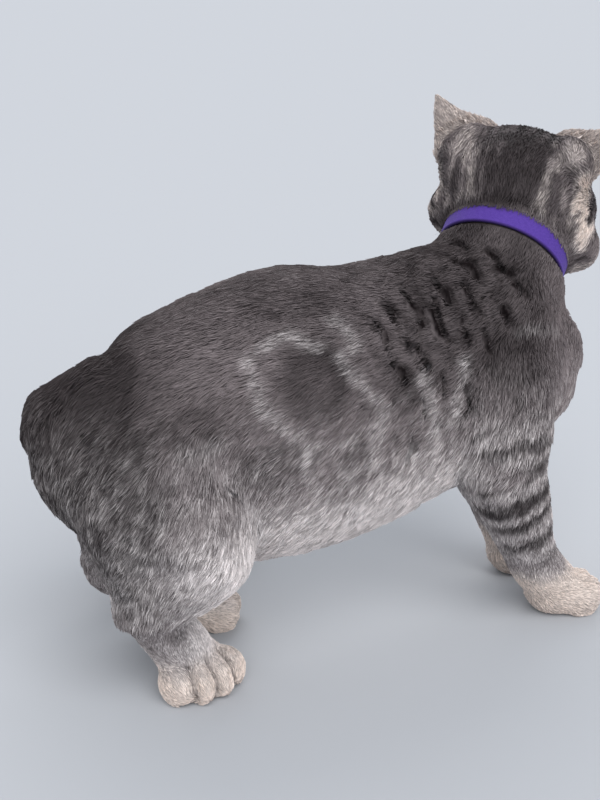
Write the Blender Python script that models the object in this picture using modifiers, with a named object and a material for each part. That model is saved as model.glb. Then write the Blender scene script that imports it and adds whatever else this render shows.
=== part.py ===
"""A bengal cat, life size, standing low on its hind legs with its head turned away to its left.

The frame is +X towards the chest, +Y to the cat's left and +Z up, with the origin on the floor under
the middle of the model's box. The tables are in millimetres and place() turns them to metres. The outer
surface is the tips of the coat. The body is modelled whole, as overlapping forms that are melted into
one skin, and is then parted with thin cuts where a person would name its parts.
"""

import math

import bmesh
import bpy
from mathutils import Matrix, Vector

MM = 0.001
GAP = 0.35 * MM  # kept between parts that meet face to face
SHIFT = Vector((15.1, -41.4, 0.0)) * MM  # from the origin of the tables to the model's own origin

# The trunk from rump to breast: x, top of the back, underside, half width, sideways lean of the middle
TRUNK = [
    (-176, 174, 134, 18, 0),
    (-164, 183, 106, 33, 0),
    (-146, 193, 84, 45, 0),
    (-120, 204, 72, 52, 0),
    (-85, 215, 63, 56, 0),
    (-50, 222, 60, 58, 0),
    (-15, 219, 64, 56, 0),
    (20, 221, 74, 52, 0),
    (55, 225, 84, 48, 0),
    (85, 218, 92, 44, 0),
    (105, 211, 104, 38, 0),
    (114, 203, 122, 28, 0),
]

# Neck: centre x, y, z, half width, half depth
NECK = [
    (62, 0, 176, 44, 48),
    (84, 4, 195, 41, 44),
    (97, 11, 214, 38, 39),
    (113, 22, 232, 38, 38),
]

# The tail leaves the rump, drops beside the left thigh and lies along the floor: x, y, z, radius
TAIL = [
    (-150, 0, 160, 19),
    (-170, 8, 158, 18.5),
    (-168, 27, 150, 17),
    (-160, 52, 135, 16),
    (-149, 76, 108, 15),
    (-134, 91, 78, 14),
    (-114, 99, 47, 13),
    (-88, 104, 21, 12.5),
    (-58, 108, 9, 12),
    (-34, 120, 8, 11),
    (-28, 146.5, 6.5, 9.5),
]
TAIL_CUTS = (0.34, 0.66)  # where along its length the tail is parted

# Each hind leg: hip, knee, hock, ball of the foot, the way the toes point, in degrees from +X, and how far
# they are spread
HIND_LEGS = {
    "right": {
        "hip": (-136, -28, 138),
        "knee": (-114, -46, 92),
        "hock": (-142, -28, 59),
        "ball": (-115, -17, 14),
        "toes_point": -80,
        "spread": 1.22,
    },
    "left": {
        "hip": (-124, 28, 140),
        "knee": (-106, 46, 97),
        "hock": (-138, 42, 50),
        "ball": (-92, 38, 14),
        "toes_point": 6,
        "spread": 1.0,
    },
}
THIGH_RADII = (50, 22, 44)
HAMSTRING = [(-20, 0, -18, 23), (-8, 0, 0, 20), (0, 0, 9, 17)]  # from the hip, from above the hock, from the hock
SHANK_RADII = (25, 19)  # at the knee and above the hock
HOCK_RADIUS = 16
FOOT_RADIUS = 16

# Each front leg: shoulder, elbow, wrist, ball of the foot, and the way the toes point
FRONT_LEGS = {
    "right": {
        "shoulder": (76, -32, 156),
        "elbow": (68, -42, 102),
        "wrist": (90, -42, 44),
        "ball": (114, -38, 14),
        "toes_point": -4,
        "spread": 1.0,
    },
    "left": {
        "shoulder": (67, 30, 156),
        "elbow": (90, 34, 102),
        "wrist": (109, 18, 44),
        "ball": (122, 15, 14),
        "toes_point": 8,
        "spread": 1.0,
    },
}
SHOULDER_RADII = (36, 18, 52)
FOREARM_RADII = (24, 20.5, 16)  # elbow, mid forearm, wrist

# Paw, in its own frame: x towards the toes, y to the left
PAW_BODY = (20, 18, 14)
TOE_SPREAD = (-13.8, -4.8, 4.8, 13.8)
TOE_REACH = (12, 18, 18, 12)
TOE_RADII = (12.5, 7.2, 11.5)

# Head frame: x to the nose, y to the head's left, z up, in millimetres from the middle of the cranium
HEAD_MIDDLE = (117, 30, 243)
HEAD_TURN = 46
HEAD_PITCH = 8  # nose down
HEAD_ROLL = 5  # the left ear up
CRANIUM = [((-6, 0, 4), (42, 44, 35)), ((12, 0, 10), (28, 32, 23))]
HEAD_PAIRS = [  # centre on the left side, radii: cheekbone, jowl, ear base, brow, whisker pad, upper lip
    ((10, 26, -8), (26, 22, 24)),
    ((-6, 26, -19), (29, 24, 25)),
    ((-11, 27, 20), (18, 18, 17)),
    ((22, 15, 12), (15, 13, 11)),
    ((43, 9.5, -13), (13.5, 11, 10)),
    ((38, 10, -20), (12, 7, 6)),
]
RUFF = ((-2, -36, -26), (21, 18, 17))  # the coat that the turned neck pushes out below the right cheek
NOSE_BRIDGE = [(16, 0, 18, 12, 9), (32, 0, 10, 10, 9), (46, 0, -1, 8, 8), (53, 0, -5, 6.5, 6)]
LOWER_JAW = [(-10, 0, -27, 20, 13), (16, 0, -28, 15, 11), (34, 0, -26, 11, 8), (44, 0, -25, 9.5, 7.5)]

EYE_MIDDLE = (26.5, 17.5, 4.5)
EYE_RADIUS = 10.5
EYE_TURN = 14  # outwards
EYE_REACH = 105  # the eye's solid, in degrees from its front
SOCKET_REACH = 112
LID_THICKNESS = 1.4
LID_HALF_WIDTH = 9.4
LID_HALF_HEIGHT = 6.8
LID_TILT = 14  # the outer corner stands higher
NOSE_MIDDLE = (55.5, 0, -6)
NOSE_RADII = (4.6, 6.8, 4.6)
NOSTRIL_MIDDLE = (59.3, 3.4, -6.6)
NOSTRIL_RADII = (2.2, 1.5, 1.1)
MOUTH_RADIUS = 1.0
NOSE_GROOVE = [(57.2, 0, -9), (55, 0, -11.5), (53, 0, -14.5), (51.8, 0, -17.5)]
MOUTH_HALF = [  # the left half of the mouth's line, from its corner to under the nose
    (33, 25, -18), (34.4, 21, -16.6), (39, 17.2, -17.6), (44, 16.2, -19.5), (48, 13.4, -21), (51, 9, -20.8),
    (52.3, 4.6, -19), (51.9, 0, -17.6),
]

# An ear in the head frame: its root, the way it rises and the way its cup opens
EAR_ROOT = (-11, 27, 25)
EARS = {
    "left": {"hand": 1, "rises": (-0.20, 0.70, 0.64), "opens": (0.86, 0.42, -0.16)},
    "right": {"hand": -1, "rises": (-0.20, 0.76, 0.56), "opens": (0.86, 0.42, -0.20)},
}
EAR_LENGTH = 37
EAR_HALF_WIDTH = 20
EAR_CUP = 8  # how far the edges stand in front of the middle
EAR_THICKNESS = 2.0
EAR_SUNK = 11  # of its length, in the head

# Collar: a flat band round the neck, 12.7 mm wide
COLLAR_MIDDLE = (96, 10.5, 213)
COLLAR_TURN = 33.5
COLLAR_RISE = 42  # of the neck's axis above the level
COLLAR_HALF_WIDTH = 6.35
COLLAR_RADII = (35.4, 36.0)  # inside, across the neck and front to back
COLLAR_THICKNESS = 2.2
CLASP_SIZE = (5.0, 20.0, 12.2)  # out from the neck, round it and along it
CINCH_OVER = 1.0  # how far the coat stands above the inside of the band
CINCH_SLOPE = 1.3
CINCH_REACH = 16

# Colours and roughness by the start of a node's name. The rest is coat
COAT = ((0.165, 0.150, 0.142), 0.85)
FINISHES = {
    "hind_foot": ((0.30, 0.26, 0.23), 0.85),
    "front_foot": ((0.52, 0.46, 0.41), 0.85),
    "tail_tip": ((0.035, 0.030, 0.028), 0.85),
    "ear": ((0.36, 0.27, 0.24), 0.7),
    "eye": ((0.36, 0.42, 0.12), 0.08),
    "nose": ((0.33, 0.15, 0.13), 0.55),
    "collar_band": ((0.115, 0.055, 0.42), 0.75),
    "collar_clasp": ((0.05, 0.03, 0.14), 0.4),
}

# Where the body is parted
NECK_TOP = 9.5  # along the neck from the collar's middle
NECK_FOOT = -20.0
TAIL_ROOT = 0.20
TAIL_MARGIN = 3.5
FEET_TOP = 56.0
CHEST_FROM = 25.0
RUMP_FROM = -72.0
THIGH_REGION = [  # x, y on the left, z, half length, half width
    (-132, 51, 40, 56, 35),
    (-130, 51, 80, 54, 35),
    (-122, 53, 110, 47, 33),
    (-118, 55, 135, 34, 25),
    (-116, 56, 148, 18, 14),
]
UPPER_ARM_MIDDLE = (78, 46, 140)
UPPER_ARM_RADII = (38, 26, 50)

BODY_VOXEL = 1.9 * MM
WHOLE_TRIANGLES = 4600


def place(point):
    """A point of the tables, in the model's own frame."""
    return Vector(point) * MM + SHIFT


def head_frame():
    """The matrix that takes a point in the head's frame, in millimetres, to the model's."""
    turn = Matrix.Rotation(math.radians(HEAD_TURN), 4, "Z")
    pitch = Matrix.Rotation(math.radians(HEAD_PITCH), 4, "Y")
    roll = Matrix.Rotation(math.radians(HEAD_ROLL), 4, "X")
    return Matrix.Translation(place(HEAD_MIDDLE)) @ turn @ pitch @ roll @ Matrix.Scale(MM, 4)


def ground_frame(ball, heading):
    """A level frame, in millimetres, at a foot's ball, with x along the toes."""
    turn = Matrix.Rotation(math.radians(heading), 4, "Z")
    return Matrix.Translation(place(ball)) @ turn @ Matrix.Scale(MM, 4)


def collection_of(name):
    """A new collection in the scene."""
    made = bpy.data.collections.new(name)
    bpy.context.scene.collection.children.link(made)
    return made


def object_from(bm, name, collection):
    """Puts a bmesh in a new object."""
    mesh = bpy.data.meshes.new(name)
    bm.to_mesh(mesh)
    bm.free()
    made = bpy.data.objects.new(name, mesh)
    collection.objects.link(made)
    return made


def ellipsoid(name, frame, middle, radii, collection, segments=28, grow=0.0):
    """A closed ellipsoid in a frame that is in millimetres. grow is added to each radius, in metres."""
    bm = bmesh.new()
    bmesh.ops.create_uvsphere(bm, u_segments=segments, v_segments=segments * 2 // 3, radius=1.0)
    size = Matrix.Diagonal([*(r + grow / MM for r in radii), 1.0])
    bmesh.ops.transform(bm, matrix=frame @ Matrix.Translation(middle) @ size, verts=bm.verts)
    return object_from(bm, name, collection)


def between(values, share):
    """Catmull-Rom through rows of numbers, at a share from 0 to 1 of the rows."""
    spot = share * (len(values) - 1)
    i = min(int(spot), len(values) - 2)
    t = spot - i
    rows = [values[min(max(i + k, 0), len(values) - 1)] for k in (-1, 0, 1, 2)]
    return [
        0.5 * (2 * b + (c - a) * t + (2 * a - 5 * b + 4 * c - d) * t * t + (3 * b - a - 3 * c + d) * t**3)
        for a, b, c, d in zip(*rows)
    ]


def loft(name, frame, stations, collection, side=(0, 1, 0), around=28, steps=7, grow=0.0, round_ends=True):
    """A closed tube with elliptical sections through stations of x, y, z, half width along side, half depth."""
    count = (len(stations) - 1) * steps + 1
    rows = [between(stations, i / (count - 1)) for i in range(count)]
    middles = [Vector(r[:3]) for r in rows]
    sizes = [(r[3] + grow / MM, r[4] + grow / MM) for r in rows]
    tangents = [
        (middles[min(i + 1, count - 1)] - middles[max(i - 1, 0)]).normalized() for i in range(count)
    ]
    rings = list(zip(middles, tangents, sizes))
    if round_ends:
        caps = [math.radians(a) for a in (72, 50, 28)]
        head = [
            (middles[0] - tangents[0] * math.sin(a) * min(sizes[0]), tangents[0],
             (sizes[0][0] * math.cos(a), sizes[0][1] * math.cos(a)))
            for a in caps
        ]
        tail = [
            (middles[-1] + tangents[-1] * math.sin(a) * min(sizes[-1]), tangents[-1],
             (sizes[-1][0] * math.cos(a), sizes[-1][1] * math.cos(a)))
            for a in reversed(caps)
        ]
        rings = head + rings + tail
    bm = bmesh.new()
    loops = []
    for middle, tangent, (wide, deep) in rings:
        across = (Vector(side) - tangent * tangent.dot(Vector(side))).normalized()
        over = tangent.cross(across)
        loops.append([
            bm.verts.new(frame @ (middle + across * wide * math.cos(a) + over * deep * math.sin(a)))
            for a in (2 * math.pi * k / around for k in range(around))
        ])
    for first, second in zip(loops, loops[1:]):
        for k in range(around):
            n = (k + 1) % around
            bm.faces.new((first[k], first[n], second[n], second[k]))
    bm.faces.new(list(reversed(loops[0])))
    bm.faces.new(loops[-1])
    bmesh.ops.recalc_face_normals(bm, faces=bm.faces)
    return object_from(bm, name, collection)


def trunk_stations():
    """The trunk's table as loft stations: the sections stand upright and their middles follow the back."""
    return [(x, lean, (top + under) / 2, half, (top - under) / 2) for x, top, under, half, lean in TRUNK]


def tube_stations(points, radii):
    """Loft stations with round sections."""
    return [(*p, r, r) for p, r in zip(points, radii)]


def add_hind_leg(leg, forms):
    """Thigh, shank, hock and foot of one hind leg."""
    whole = Matrix.Translation(SHIFT) @ Matrix.Scale(MM, 4)
    hip, knee, hock, ball = (Vector(leg[k]) for k in ("hip", "knee", "hock", "ball"))
    middle = hip.lerp(knee, 0.42)
    lean = Matrix.Rotation(math.atan2(hip.x - knee.x, hip.z - knee.z), 4, "Y")
    thigh_frame = Matrix.Translation(place(middle)) @ lean @ Matrix.Scale(MM, 4)
    ellipsoid("thigh", thigh_frame, (0, 0, 0), (THIGH_RADII[2], THIGH_RADII[1], THIGH_RADII[0]), forms)
    shank = [hip.lerp(knee, 0.7), knee, knee.lerp(hock, 0.55), hock]
    radii = (SHANK_RADII[0] + 4, SHANK_RADII[0], (SHANK_RADII[0] + SHANK_RADII[1]) / 2, SHANK_RADII[1])
    loft("shank", whole, tube_stations(shank, radii), forms)
    bases = (hip, hip.lerp(hock, 0.62), hock)
    back = [base + Vector(step[:3]) for base, step in zip(bases, HAMSTRING)]
    loft("hamstring", whole, tube_stations(back, [step[3] for step in HAMSTRING]), forms)
    foot = [hock + Vector((-3, 0, 5)), hock, hock.lerp(ball, 0.5), ball]
    loft("foot", whole, tube_stations(foot, (HOCK_RADIUS - 2, HOCK_RADIUS, FOOT_RADIUS, FOOT_RADIUS)), forms)


def add_front_leg(leg, forms):
    """Shoulder, upper arm, forearm and wrist of one front leg."""
    whole = Matrix.Translation(SHIFT) @ Matrix.Scale(MM, 4)
    shoulder, elbow, wrist, ball = (Vector(leg[k]) for k in ("shoulder", "elbow", "wrist", "ball"))
    ellipsoid("shoulder", whole, shoulder, SHOULDER_RADII, forms)
    arm = [shoulder, shoulder.lerp(elbow, 0.6), elbow, elbow.lerp(wrist, 0.5), wrist, ball]
    radii = (26, 26, FOREARM_RADII[0], FOREARM_RADII[1], FOREARM_RADII[2], FOREARM_RADII[2])
    loft("arm", whole, tube_stations(arm, radii), forms)


def add_paw(leg, forms):
    """A paw with its four toes, which the floor cuts flat underneath."""
    frame = ground_frame(leg["ball"], leg["toes_point"])
    spread = leg["spread"]
    ellipsoid("paw", frame, (0, 0, -1), PAW_BODY, forms)
    long, wide, tall = TOE_RADII
    for aside, reach in zip(TOE_SPREAD, TOE_REACH):
        ellipsoid("toe", frame, (reach, aside * spread, -4.5), (long, wide * spread, tall), forms)


def add_head(forms):
    """Cranium, cheeks, brow, muzzle and lower jaw."""
    frame = head_frame()
    for middle, radii in CRANIUM:
        ellipsoid("cranium", frame, middle, radii, forms)
    for (x, y, z), radii in HEAD_PAIRS:
        for hand in (1, -1):
            ellipsoid("cheek", frame, (x, hand * y, z), radii, forms)
    ellipsoid("ruff", frame, *RUFF, forms)
    loft("nose_bridge", frame, NOSE_BRIDGE, forms)
    loft("lower_jaw", frame, LOWER_JAW, forms)


def ear_frame(side):
    """The frame of an ear, in millimetres: x the way it opens, y across it and z up it."""
    hand = EARS[side]["hand"]
    mirror = Vector((1, hand, 1))
    rises = (Vector(EARS[side]["rises"]) * mirror).normalized()
    opens = Vector(EARS[side]["opens"]) * mirror
    opens = (opens - rises * opens.dot(rises)).normalized()
    axes = Matrix((opens, rises.cross(opens), rises)).transposed().to_4x4()
    return head_frame() @ Matrix.Translation(Vector(EAR_ROOT) * mirror) @ axes


def ear(name, side, collection, grow=0.0):
    """A cupped ear: a bent sheet with a pointed outline, thickened. grow is in metres."""
    bm = bmesh.new()
    bmesh.ops.create_grid(bm, x_segments=8, y_segments=8, size=0.5)
    frame = ear_frame(side)
    more = grow / MM
    for vertex in bm.verts:
        across = vertex.co.x * 2
        rise = -EAR_SUNK - more + (vertex.co.y + 0.5) * (EAR_LENGTH + EAR_SUNK + 2 * more)
        share = min(max(rise / EAR_LENGTH, 0.0), 1.0)
        half = max(EAR_HALF_WIDTH * (1 - share**1.5) ** 0.85, 0.8)
        cup = EAR_CUP * abs(across) ** 2.2 * (half / EAR_HALF_WIDTH) ** 0.8
        vertex.co = frame @ Vector((cup - 5 * share * share, across * (half + more), rise))
    made = object_from(bm, name, collection)
    solid = made.modifiers.new("thick", "SOLIDIFY")
    solid.thickness = EAR_THICKNESS * MM + 2 * grow
    solid.offset = 0.0
    apply_modifiers(made)
    return made


def collar_frame():
    """The collar's frame, in millimetres: z along the neck, x across it, y to the nape."""
    turn = Matrix.Rotation(math.radians(COLLAR_TURN), 4, "Z")
    rise = Matrix.Rotation(math.radians(90 - COLLAR_RISE), 4, "Y")
    return Matrix.Translation(place(COLLAR_MIDDLE)) @ turn @ rise @ Matrix.Scale(MM, 4)


def ring(name, inner, thickness, half_width, collection, around=48):
    """A flat closed band round the neck. inner is its inner radii, across the neck and front to back."""
    bm = bmesh.new()
    frame = collar_frame()
    corners = [(0, -half_width), (thickness, -half_width), (thickness, half_width), (0, half_width)]
    loops = []
    for k in range(around):
        a = 2 * math.pi * k / around
        loops.append([
            bm.verts.new(frame @ Vector(((inner[1] + out) * math.cos(a), (inner[0] + out) * math.sin(a), z)))
            for out, z in corners
        ])
    for k in range(around):
        first, second = loops[k], loops[(k + 1) % around]
        for i in range(4):
            n = (i + 1) % 4
            bm.faces.new((first[i], first[n], second[n], second[i]))
    bmesh.ops.recalc_face_normals(bm, faces=bm.faces)
    return object_from(bm, name, collection)


def clasp(name, collection):
    """A plain rounded clasp on the band, at the throat."""
    bm = bmesh.new()
    bmesh.ops.create_cube(bm, size=1.0)
    out = COLLAR_RADII[1] + COLLAR_THICKNESS + GAP / MM + CLASP_SIZE[0] / 2
    frame = collar_frame() @ Matrix.Translation((out, 0, 0)) @ Matrix.Diagonal((*CLASP_SIZE, 1))
    bmesh.ops.transform(bm, matrix=frame, verts=bm.verts)
    bmesh.ops.bevel(bm, geom=bm.edges[:], offset=1.2 * MM, segments=2, profile=0.5, affect="EDGES")
    return object_from(bm, name, collection)


def evaluated_mesh(obj):
    """The object's mesh with its modifiers applied."""
    graph = bpy.context.evaluated_depsgraph_get()
    return bpy.data.meshes.new_from_object(obj.evaluated_get(graph))


def apply_modifiers(obj):
    """Gives the object its evaluated mesh and drops its modifiers."""
    bpy.context.view_layer.update()
    mesh = evaluated_mesh(obj)
    obj.modifiers.clear()
    obj.data = mesh


def melt(forms, name, collection):
    """One closed skin over every form, its hollows between forms softened."""
    bm = bmesh.new()
    for form in forms.objects:
        bm.from_mesh(form.data)
    whole = object_from(bm, name, collection)
    remesh = whole.modifiers.new("melt", "REMESH")
    remesh.mode = "VOXEL"
    remesh.voxel_size = BODY_VOXEL
    apply_modifiers(whole)
    return whole


def weigh(obj, name, weight_at):
    """A vertex group whose weights come from a function of the place."""
    group = obj.vertex_groups.new(name=name)
    for vertex in obj.data.vertices:
        weight = weight_at(vertex.co)
        if weight > 0.0:
            group.add([vertex.index], min(weight, 1.0), "REPLACE")
    return group


def nearest_paw(spot):
    """How far a place is from the nearest foot's ball, in millimetres."""
    legs = [*HIND_LEGS.values(), *FRONT_LEGS.values()]
    return min((spot - place(leg["ball"])).length / MM for leg in legs)


def fineness(spot):
    """1 at the head and the paws, which keep their small forms, and 0 on the trunk."""
    head = (spot - place(HEAD_MIDDLE)).length / MM
    return max(0.0, min(1.0, (78 - head) / 16), min(1.0, (46 - nearest_paw(spot)) / 12))


def coarseness(spot):
    """How readily the mesh is thinned: least at the muzzle, then at the head and the paws."""
    if (spot - head_frame() @ Vector(NOSE_MIDDLE)).length / MM < 30:
        return 0.50
    if (spot - place(HEAD_MIDDLE)).length / MM < 70:
        return 0.68
    if nearest_paw(spot) < 40:
        return 0.66
    return 0.86


def cinch(obj):
    """Draws the neck in under the collar, so that the band sits in the coat."""
    frame = collar_frame()
    back = frame.inverted()
    for vertex in obj.data.vertices:
        x, y, z = back @ vertex.co
        around = math.atan2(y / COLLAR_RADII[0], x / COLLAR_RADII[1])
        radius = math.hypot(x, y)
        band = math.hypot(COLLAR_RADII[1] * math.cos(around), COLLAR_RADII[0] * math.sin(around))
        limit = band + CINCH_OVER + max(0.0, abs(z) - COLLAR_HALF_WIDTH) * CINCH_SLOPE
        if radius > limit and abs(z) < CINCH_REACH and radius < 2 * band:
            vertex.co = frame @ Vector((x * limit / radius, y * limit / radius, z))


def soften(obj, group, repeats, factor=0.5, invert=False):
    """Adds a smoothing modifier that works where the group is."""
    smooth = obj.modifiers.new("soften", "SMOOTH")
    smooth.factor = factor
    smooth.iterations = repeats
    smooth.vertex_group = group
    smooth.invert_vertex_group = invert


def cut(obj, cutter, operation="DIFFERENCE"):
    """Changes an object with a cutter."""
    change = obj.modifiers.new(operation.lower(), "BOOLEAN")
    change.operation = operation
    change.solver = "EXACT"
    change.object = cutter
    apply_modifiers(obj)


def discard(obj):
    """Removes an object and its mesh."""
    mesh = obj.data
    bpy.data.objects.remove(obj)
    bpy.data.meshes.remove(mesh)


def copy_of(obj, name):
    """A copy of an object with its own mesh, in the same collection."""
    made = bpy.data.objects.new(name, obj.data.copy())
    obj.users_collection[0].objects.link(made)
    return made


def bodies_of(bm):
    """The separate bodies of a bmesh, as lists of faces, the largest volume first."""
    found = []
    seen = set()
    for start in bm.faces:
        if start in seen:
            continue
        seen.add(start)
        body = [start]
        for face in body:
            for edge in face.edges:
                for other in edge.link_faces:
                    if other not in seen:
                        seen.add(other)
                        body.append(other)
        volume = sum(f.calc_center_median().dot(f.normal) * f.calc_area() for f in body) / 3
        found.append((volume, body))
    found.sort(key=lambda entry: -entry[0])
    return [body for _, body in found]


def keep_bodies(obj, chosen):
    """Keeps the bodies whose place in the order of size is in chosen."""
    bm = bmesh.new()
    bm.from_mesh(obj.data)
    gone = [face for i, body in enumerate(bodies_of(bm)) if i not in chosen for face in body]
    bmesh.ops.delete(bm, geom=gone, context="FACES")
    bm.to_mesh(obj.data)
    bm.free()


def half_space(point, direction, collection, grow=0.0, depth=800.0):
    """A block whose face lies through a point of the tables, on the side that direction points to."""
    bm = bmesh.new()
    bmesh.ops.create_cube(bm, size=1.0)
    turn = Vector(direction).to_track_quat("Z", "Y").to_matrix().to_4x4()
    block = Matrix.Translation((0, 0, depth / 2 - grow / MM)) @ Matrix.Diagonal((depth, depth, depth, 1))
    frame = Matrix.Translation(place(point)) @ turn @ Matrix.Scale(MM, 4) @ block
    bmesh.ops.transform(bm, matrix=frame, verts=bm.verts)
    return guide(object_from(bm, "half_space", collection))


def guide(obj):
    """Marks an object as a cutter: drawn as wires and not rendered."""
    obj.display_type = "WIRE"
    obj.hide_render = True
    return obj


def part_off(rest, name, region):
    """Parts a named piece from the rest, with the gap between them. region(grow) makes the cutter."""
    piece = copy_of(rest, name)
    inside = region(0.0)
    cut(piece, inside, "INTERSECT")
    discard(inside)
    outside = region(GAP)
    cut(rest, outside)
    discard(outside)
    keep_bodies(rest, [0])
    return piece


def tail_spot(share):
    """The place, the direction and the radius at a share of the tail's length."""
    x, y, z, radius = between(TAIL, share)
    ahead = Vector(between(TAIL, min(share + 0.01, 1.0))[:3]) - Vector(between(TAIL, share - 0.01)[:3])
    return Vector((x, y, z)), ahead.normalized(), radius


def tail_region(collection, grow):
    """A wide tube round the free part of the tail."""
    rows = []
    for k in range(13):
        share = TAIL_ROOT + (1 - TAIL_ROOT) * k / 12
        spot, ahead, radius = tail_spot(share)
        if k == 0:
            spot -= ahead * grow / MM
        if k == 12:
            spot += ahead * 30
        rows.append((*spot, radius + TAIL_MARGIN, radius + TAIL_MARGIN))
    frame = Matrix.Translation(SHIFT) @ Matrix.Scale(MM, 4)
    region = loft("tail_region", frame, rows, collection, side=(0.3, 0.5, 1), steps=2, grow=grow, round_ends=False)
    return guide(region)


def column_region(stations, hand, collection, grow):
    """A region with elliptical level sections. hand is 1 for the cat's left."""
    frame = Matrix.Translation(SHIFT) @ Matrix.Scale(MM, 4)
    rows = [(x, hand * y, z, half_y, half_x) for x, y, z, half_x, half_y in stations]
    return guide(loft("column_region", frame, rows, collection, around=24, steps=3, grow=grow))


def leg_region(start, end, radius, collection, grow):
    """A straight round region from a flat face at start to beyond end."""
    frame = Matrix.Translation(SHIFT) @ Matrix.Scale(MM, 4)
    start, end = Vector(start), Vector(end)
    ahead = (end - start).normalized()
    rows = [(*(start - ahead * grow / MM), radius, radius), (*(end + ahead * 20), radius, radius)]
    return guide(loft("leg_region", frame, rows, collection, steps=1, grow=grow, round_ends=False))


def eye_frame(hand):
    """The frame of an eye, in millimetres: x is the way it looks. hand is 1 for the left eye."""
    x, y, z = EYE_MIDDLE
    turn = Matrix.Rotation(math.radians(hand * EYE_TURN), 4, "Z")
    return head_frame() @ Matrix.Translation((x, hand * y, z)) @ turn


def ball(name, frame, radius, collection, reach=180.0, around=20):
    """A ball round the frame's middle, or with reach in degrees from the front, a cap of it with a flat back."""
    bm = bmesh.new()
    rings = max(4, round(around / 2 * reach / 180))
    pole = bm.verts.new(frame @ Vector((radius, 0, 0)))
    loops = []
    last = rings if reach < 180 else rings - 1
    for j in range(1, last + 1):
        a = math.radians(reach * j / rings)
        loops.append([
            bm.verts.new(frame @ Vector((
                radius * math.cos(a),
                radius * math.sin(a) * math.cos(2 * math.pi * k / around),
                radius * math.sin(a) * math.sin(2 * math.pi * k / around),
            )))
            for k in range(around)
        ])
    for k in range(around):
        n = (k + 1) % around
        bm.faces.new((pole, loops[0][k], loops[0][n]))
        for first, second in zip(loops, loops[1:]):
            bm.faces.new((first[k], second[k], second[n], first[n]))
    if reach < 180:
        bm.faces.new(list(reversed(loops[-1])))
    else:
        rear = bm.verts.new(frame @ Vector((-radius, 0, 0)))
        for k in range(around):
            bm.faces.new((rear, loops[-1][(k + 1) % around], loops[-1][k]))
    bmesh.ops.recalc_face_normals(bm, faces=bm.faces)
    return object_from(bm, name, collection)


def lid_opening(hand, collection):
    """The almond between the lids, as a prism that runs out of the front of the eye."""
    bm = bmesh.new()
    tilt = math.radians(hand * LID_TILT)
    near, far = [], []
    for k in range(20):
        a = 2 * math.pi * k / 20
        y = LID_HALF_WIDTH * math.cos(a)
        z = LID_HALF_HEIGHT * math.sin(a) * abs(math.sin(a)) ** 0.25
        y, z = y * math.cos(tilt) - z * math.sin(tilt), y * math.sin(tilt) + z * math.cos(tilt)
        for row, x in ((near, 2.0), (far, 24.0)):
            row.append(bm.verts.new(eye_frame(hand) @ Vector((x, y, z))))
    for k in range(20):
        n = (k + 1) % 20
        bm.faces.new((near[k], near[n], far[n], far[k]))
    bm.faces.new(near)
    bm.faces.new(far)
    bmesh.ops.recalc_face_normals(bm, faces=bm.faces)
    return guide(object_from(bm, "lid_opening", collection))


def fit_eye(head, hand, side, collection):
    """An eye in its socket, with lids round the almond."""
    frame = eye_frame(hand)
    lids = ball("lids", frame, EYE_RADIUS + LID_THICKNESS, collection)
    socket = ball("socket", frame, EYE_RADIUS + GAP / MM, collection, reach=SOCKET_REACH)
    opening = lid_opening(hand, collection)
    cut(head, lids, "UNION")
    cut(head, socket)
    cut(head, opening)
    for tool in (lids, socket, opening):
        discard(tool)
    return ball(f"eye_{side}", frame, EYE_RADIUS, collection, reach=EYE_REACH)


def fit_nose(head, collection):
    """The nose leather with its nostrils, let into the end of the muzzle."""
    frame = head_frame()
    nose = ellipsoid("nose", frame, NOSE_MIDDLE, NOSE_RADII, collection, segments=14)
    pocket = ellipsoid("pocket", frame, NOSE_MIDDLE, NOSE_RADII, collection, segments=14, grow=GAP)
    cut(head, pocket)
    discard(pocket)
    for hand in (1, -1):
        x, y, z = NOSTRIL_MIDDLE
        turn = Matrix.Rotation(math.radians(hand * 28), 4, "Z")
        spot = frame @ Matrix.Translation((x, hand * y, z)) @ turn
        nostril = ellipsoid("nostril", spot, (0, 0, 0), NOSTRIL_RADII, collection, segments=10)
        cut(nose, nostril)
        discard(nostril)
    return nose


def carve_mouth(head, collection):
    """The line of the mouth and the groove under the nose, cut into the muzzle."""
    mouth = MOUTH_HALF + [(x, -y, z) for x, y, z in reversed(MOUTH_HALF[:-1])]
    for line, across in ((NOSE_GROOVE, (0, 1, 0)), (mouth, (0, 0, 1))):
        rows = [(*spot, MOUTH_RADIUS, MOUTH_RADIUS * 1.4) for spot in line]
        groove = loft("groove", head_frame(), rows, collection, side=across, around=8, steps=2)
        cut(head, groove)
        discard(groove)


def on_floor(obj):
    """Cuts the object flat where it would go below the floor."""
    bm = bmesh.new()
    bm.from_mesh(obj.data)
    geometry = bm.verts[:] + bm.edges[:] + bm.faces[:]
    found = bmesh.ops.bisect_plane(bm, geom=geometry, plane_co=(0, 0, 0), plane_no=(0, 0, 1), clear_inner=True)
    edges = [e for e in found["geom_cut"] if isinstance(e, bmesh.types.BMEdge)]
    bmesh.ops.holes_fill(bm, edges=edges, sides=0)
    bmesh.ops.triangulate(bm, faces=bm.faces)
    bm.to_mesh(obj.data)
    bm.free()


def finish(obj, colour, roughness):
    """Gives the object its own Principled material."""
    made = bpy.data.materials.new(obj.name)
    made.use_nodes = True
    shader = made.node_tree.nodes["Principled BSDF"]
    shader.inputs["Base Color"].default_value = (*colour, 1.0)
    shader.inputs["Roughness"].default_value = roughness
    shader.inputs["Metallic"].default_value = 0.0
    obj.data.materials.clear()
    obj.data.materials.append(made)


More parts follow.
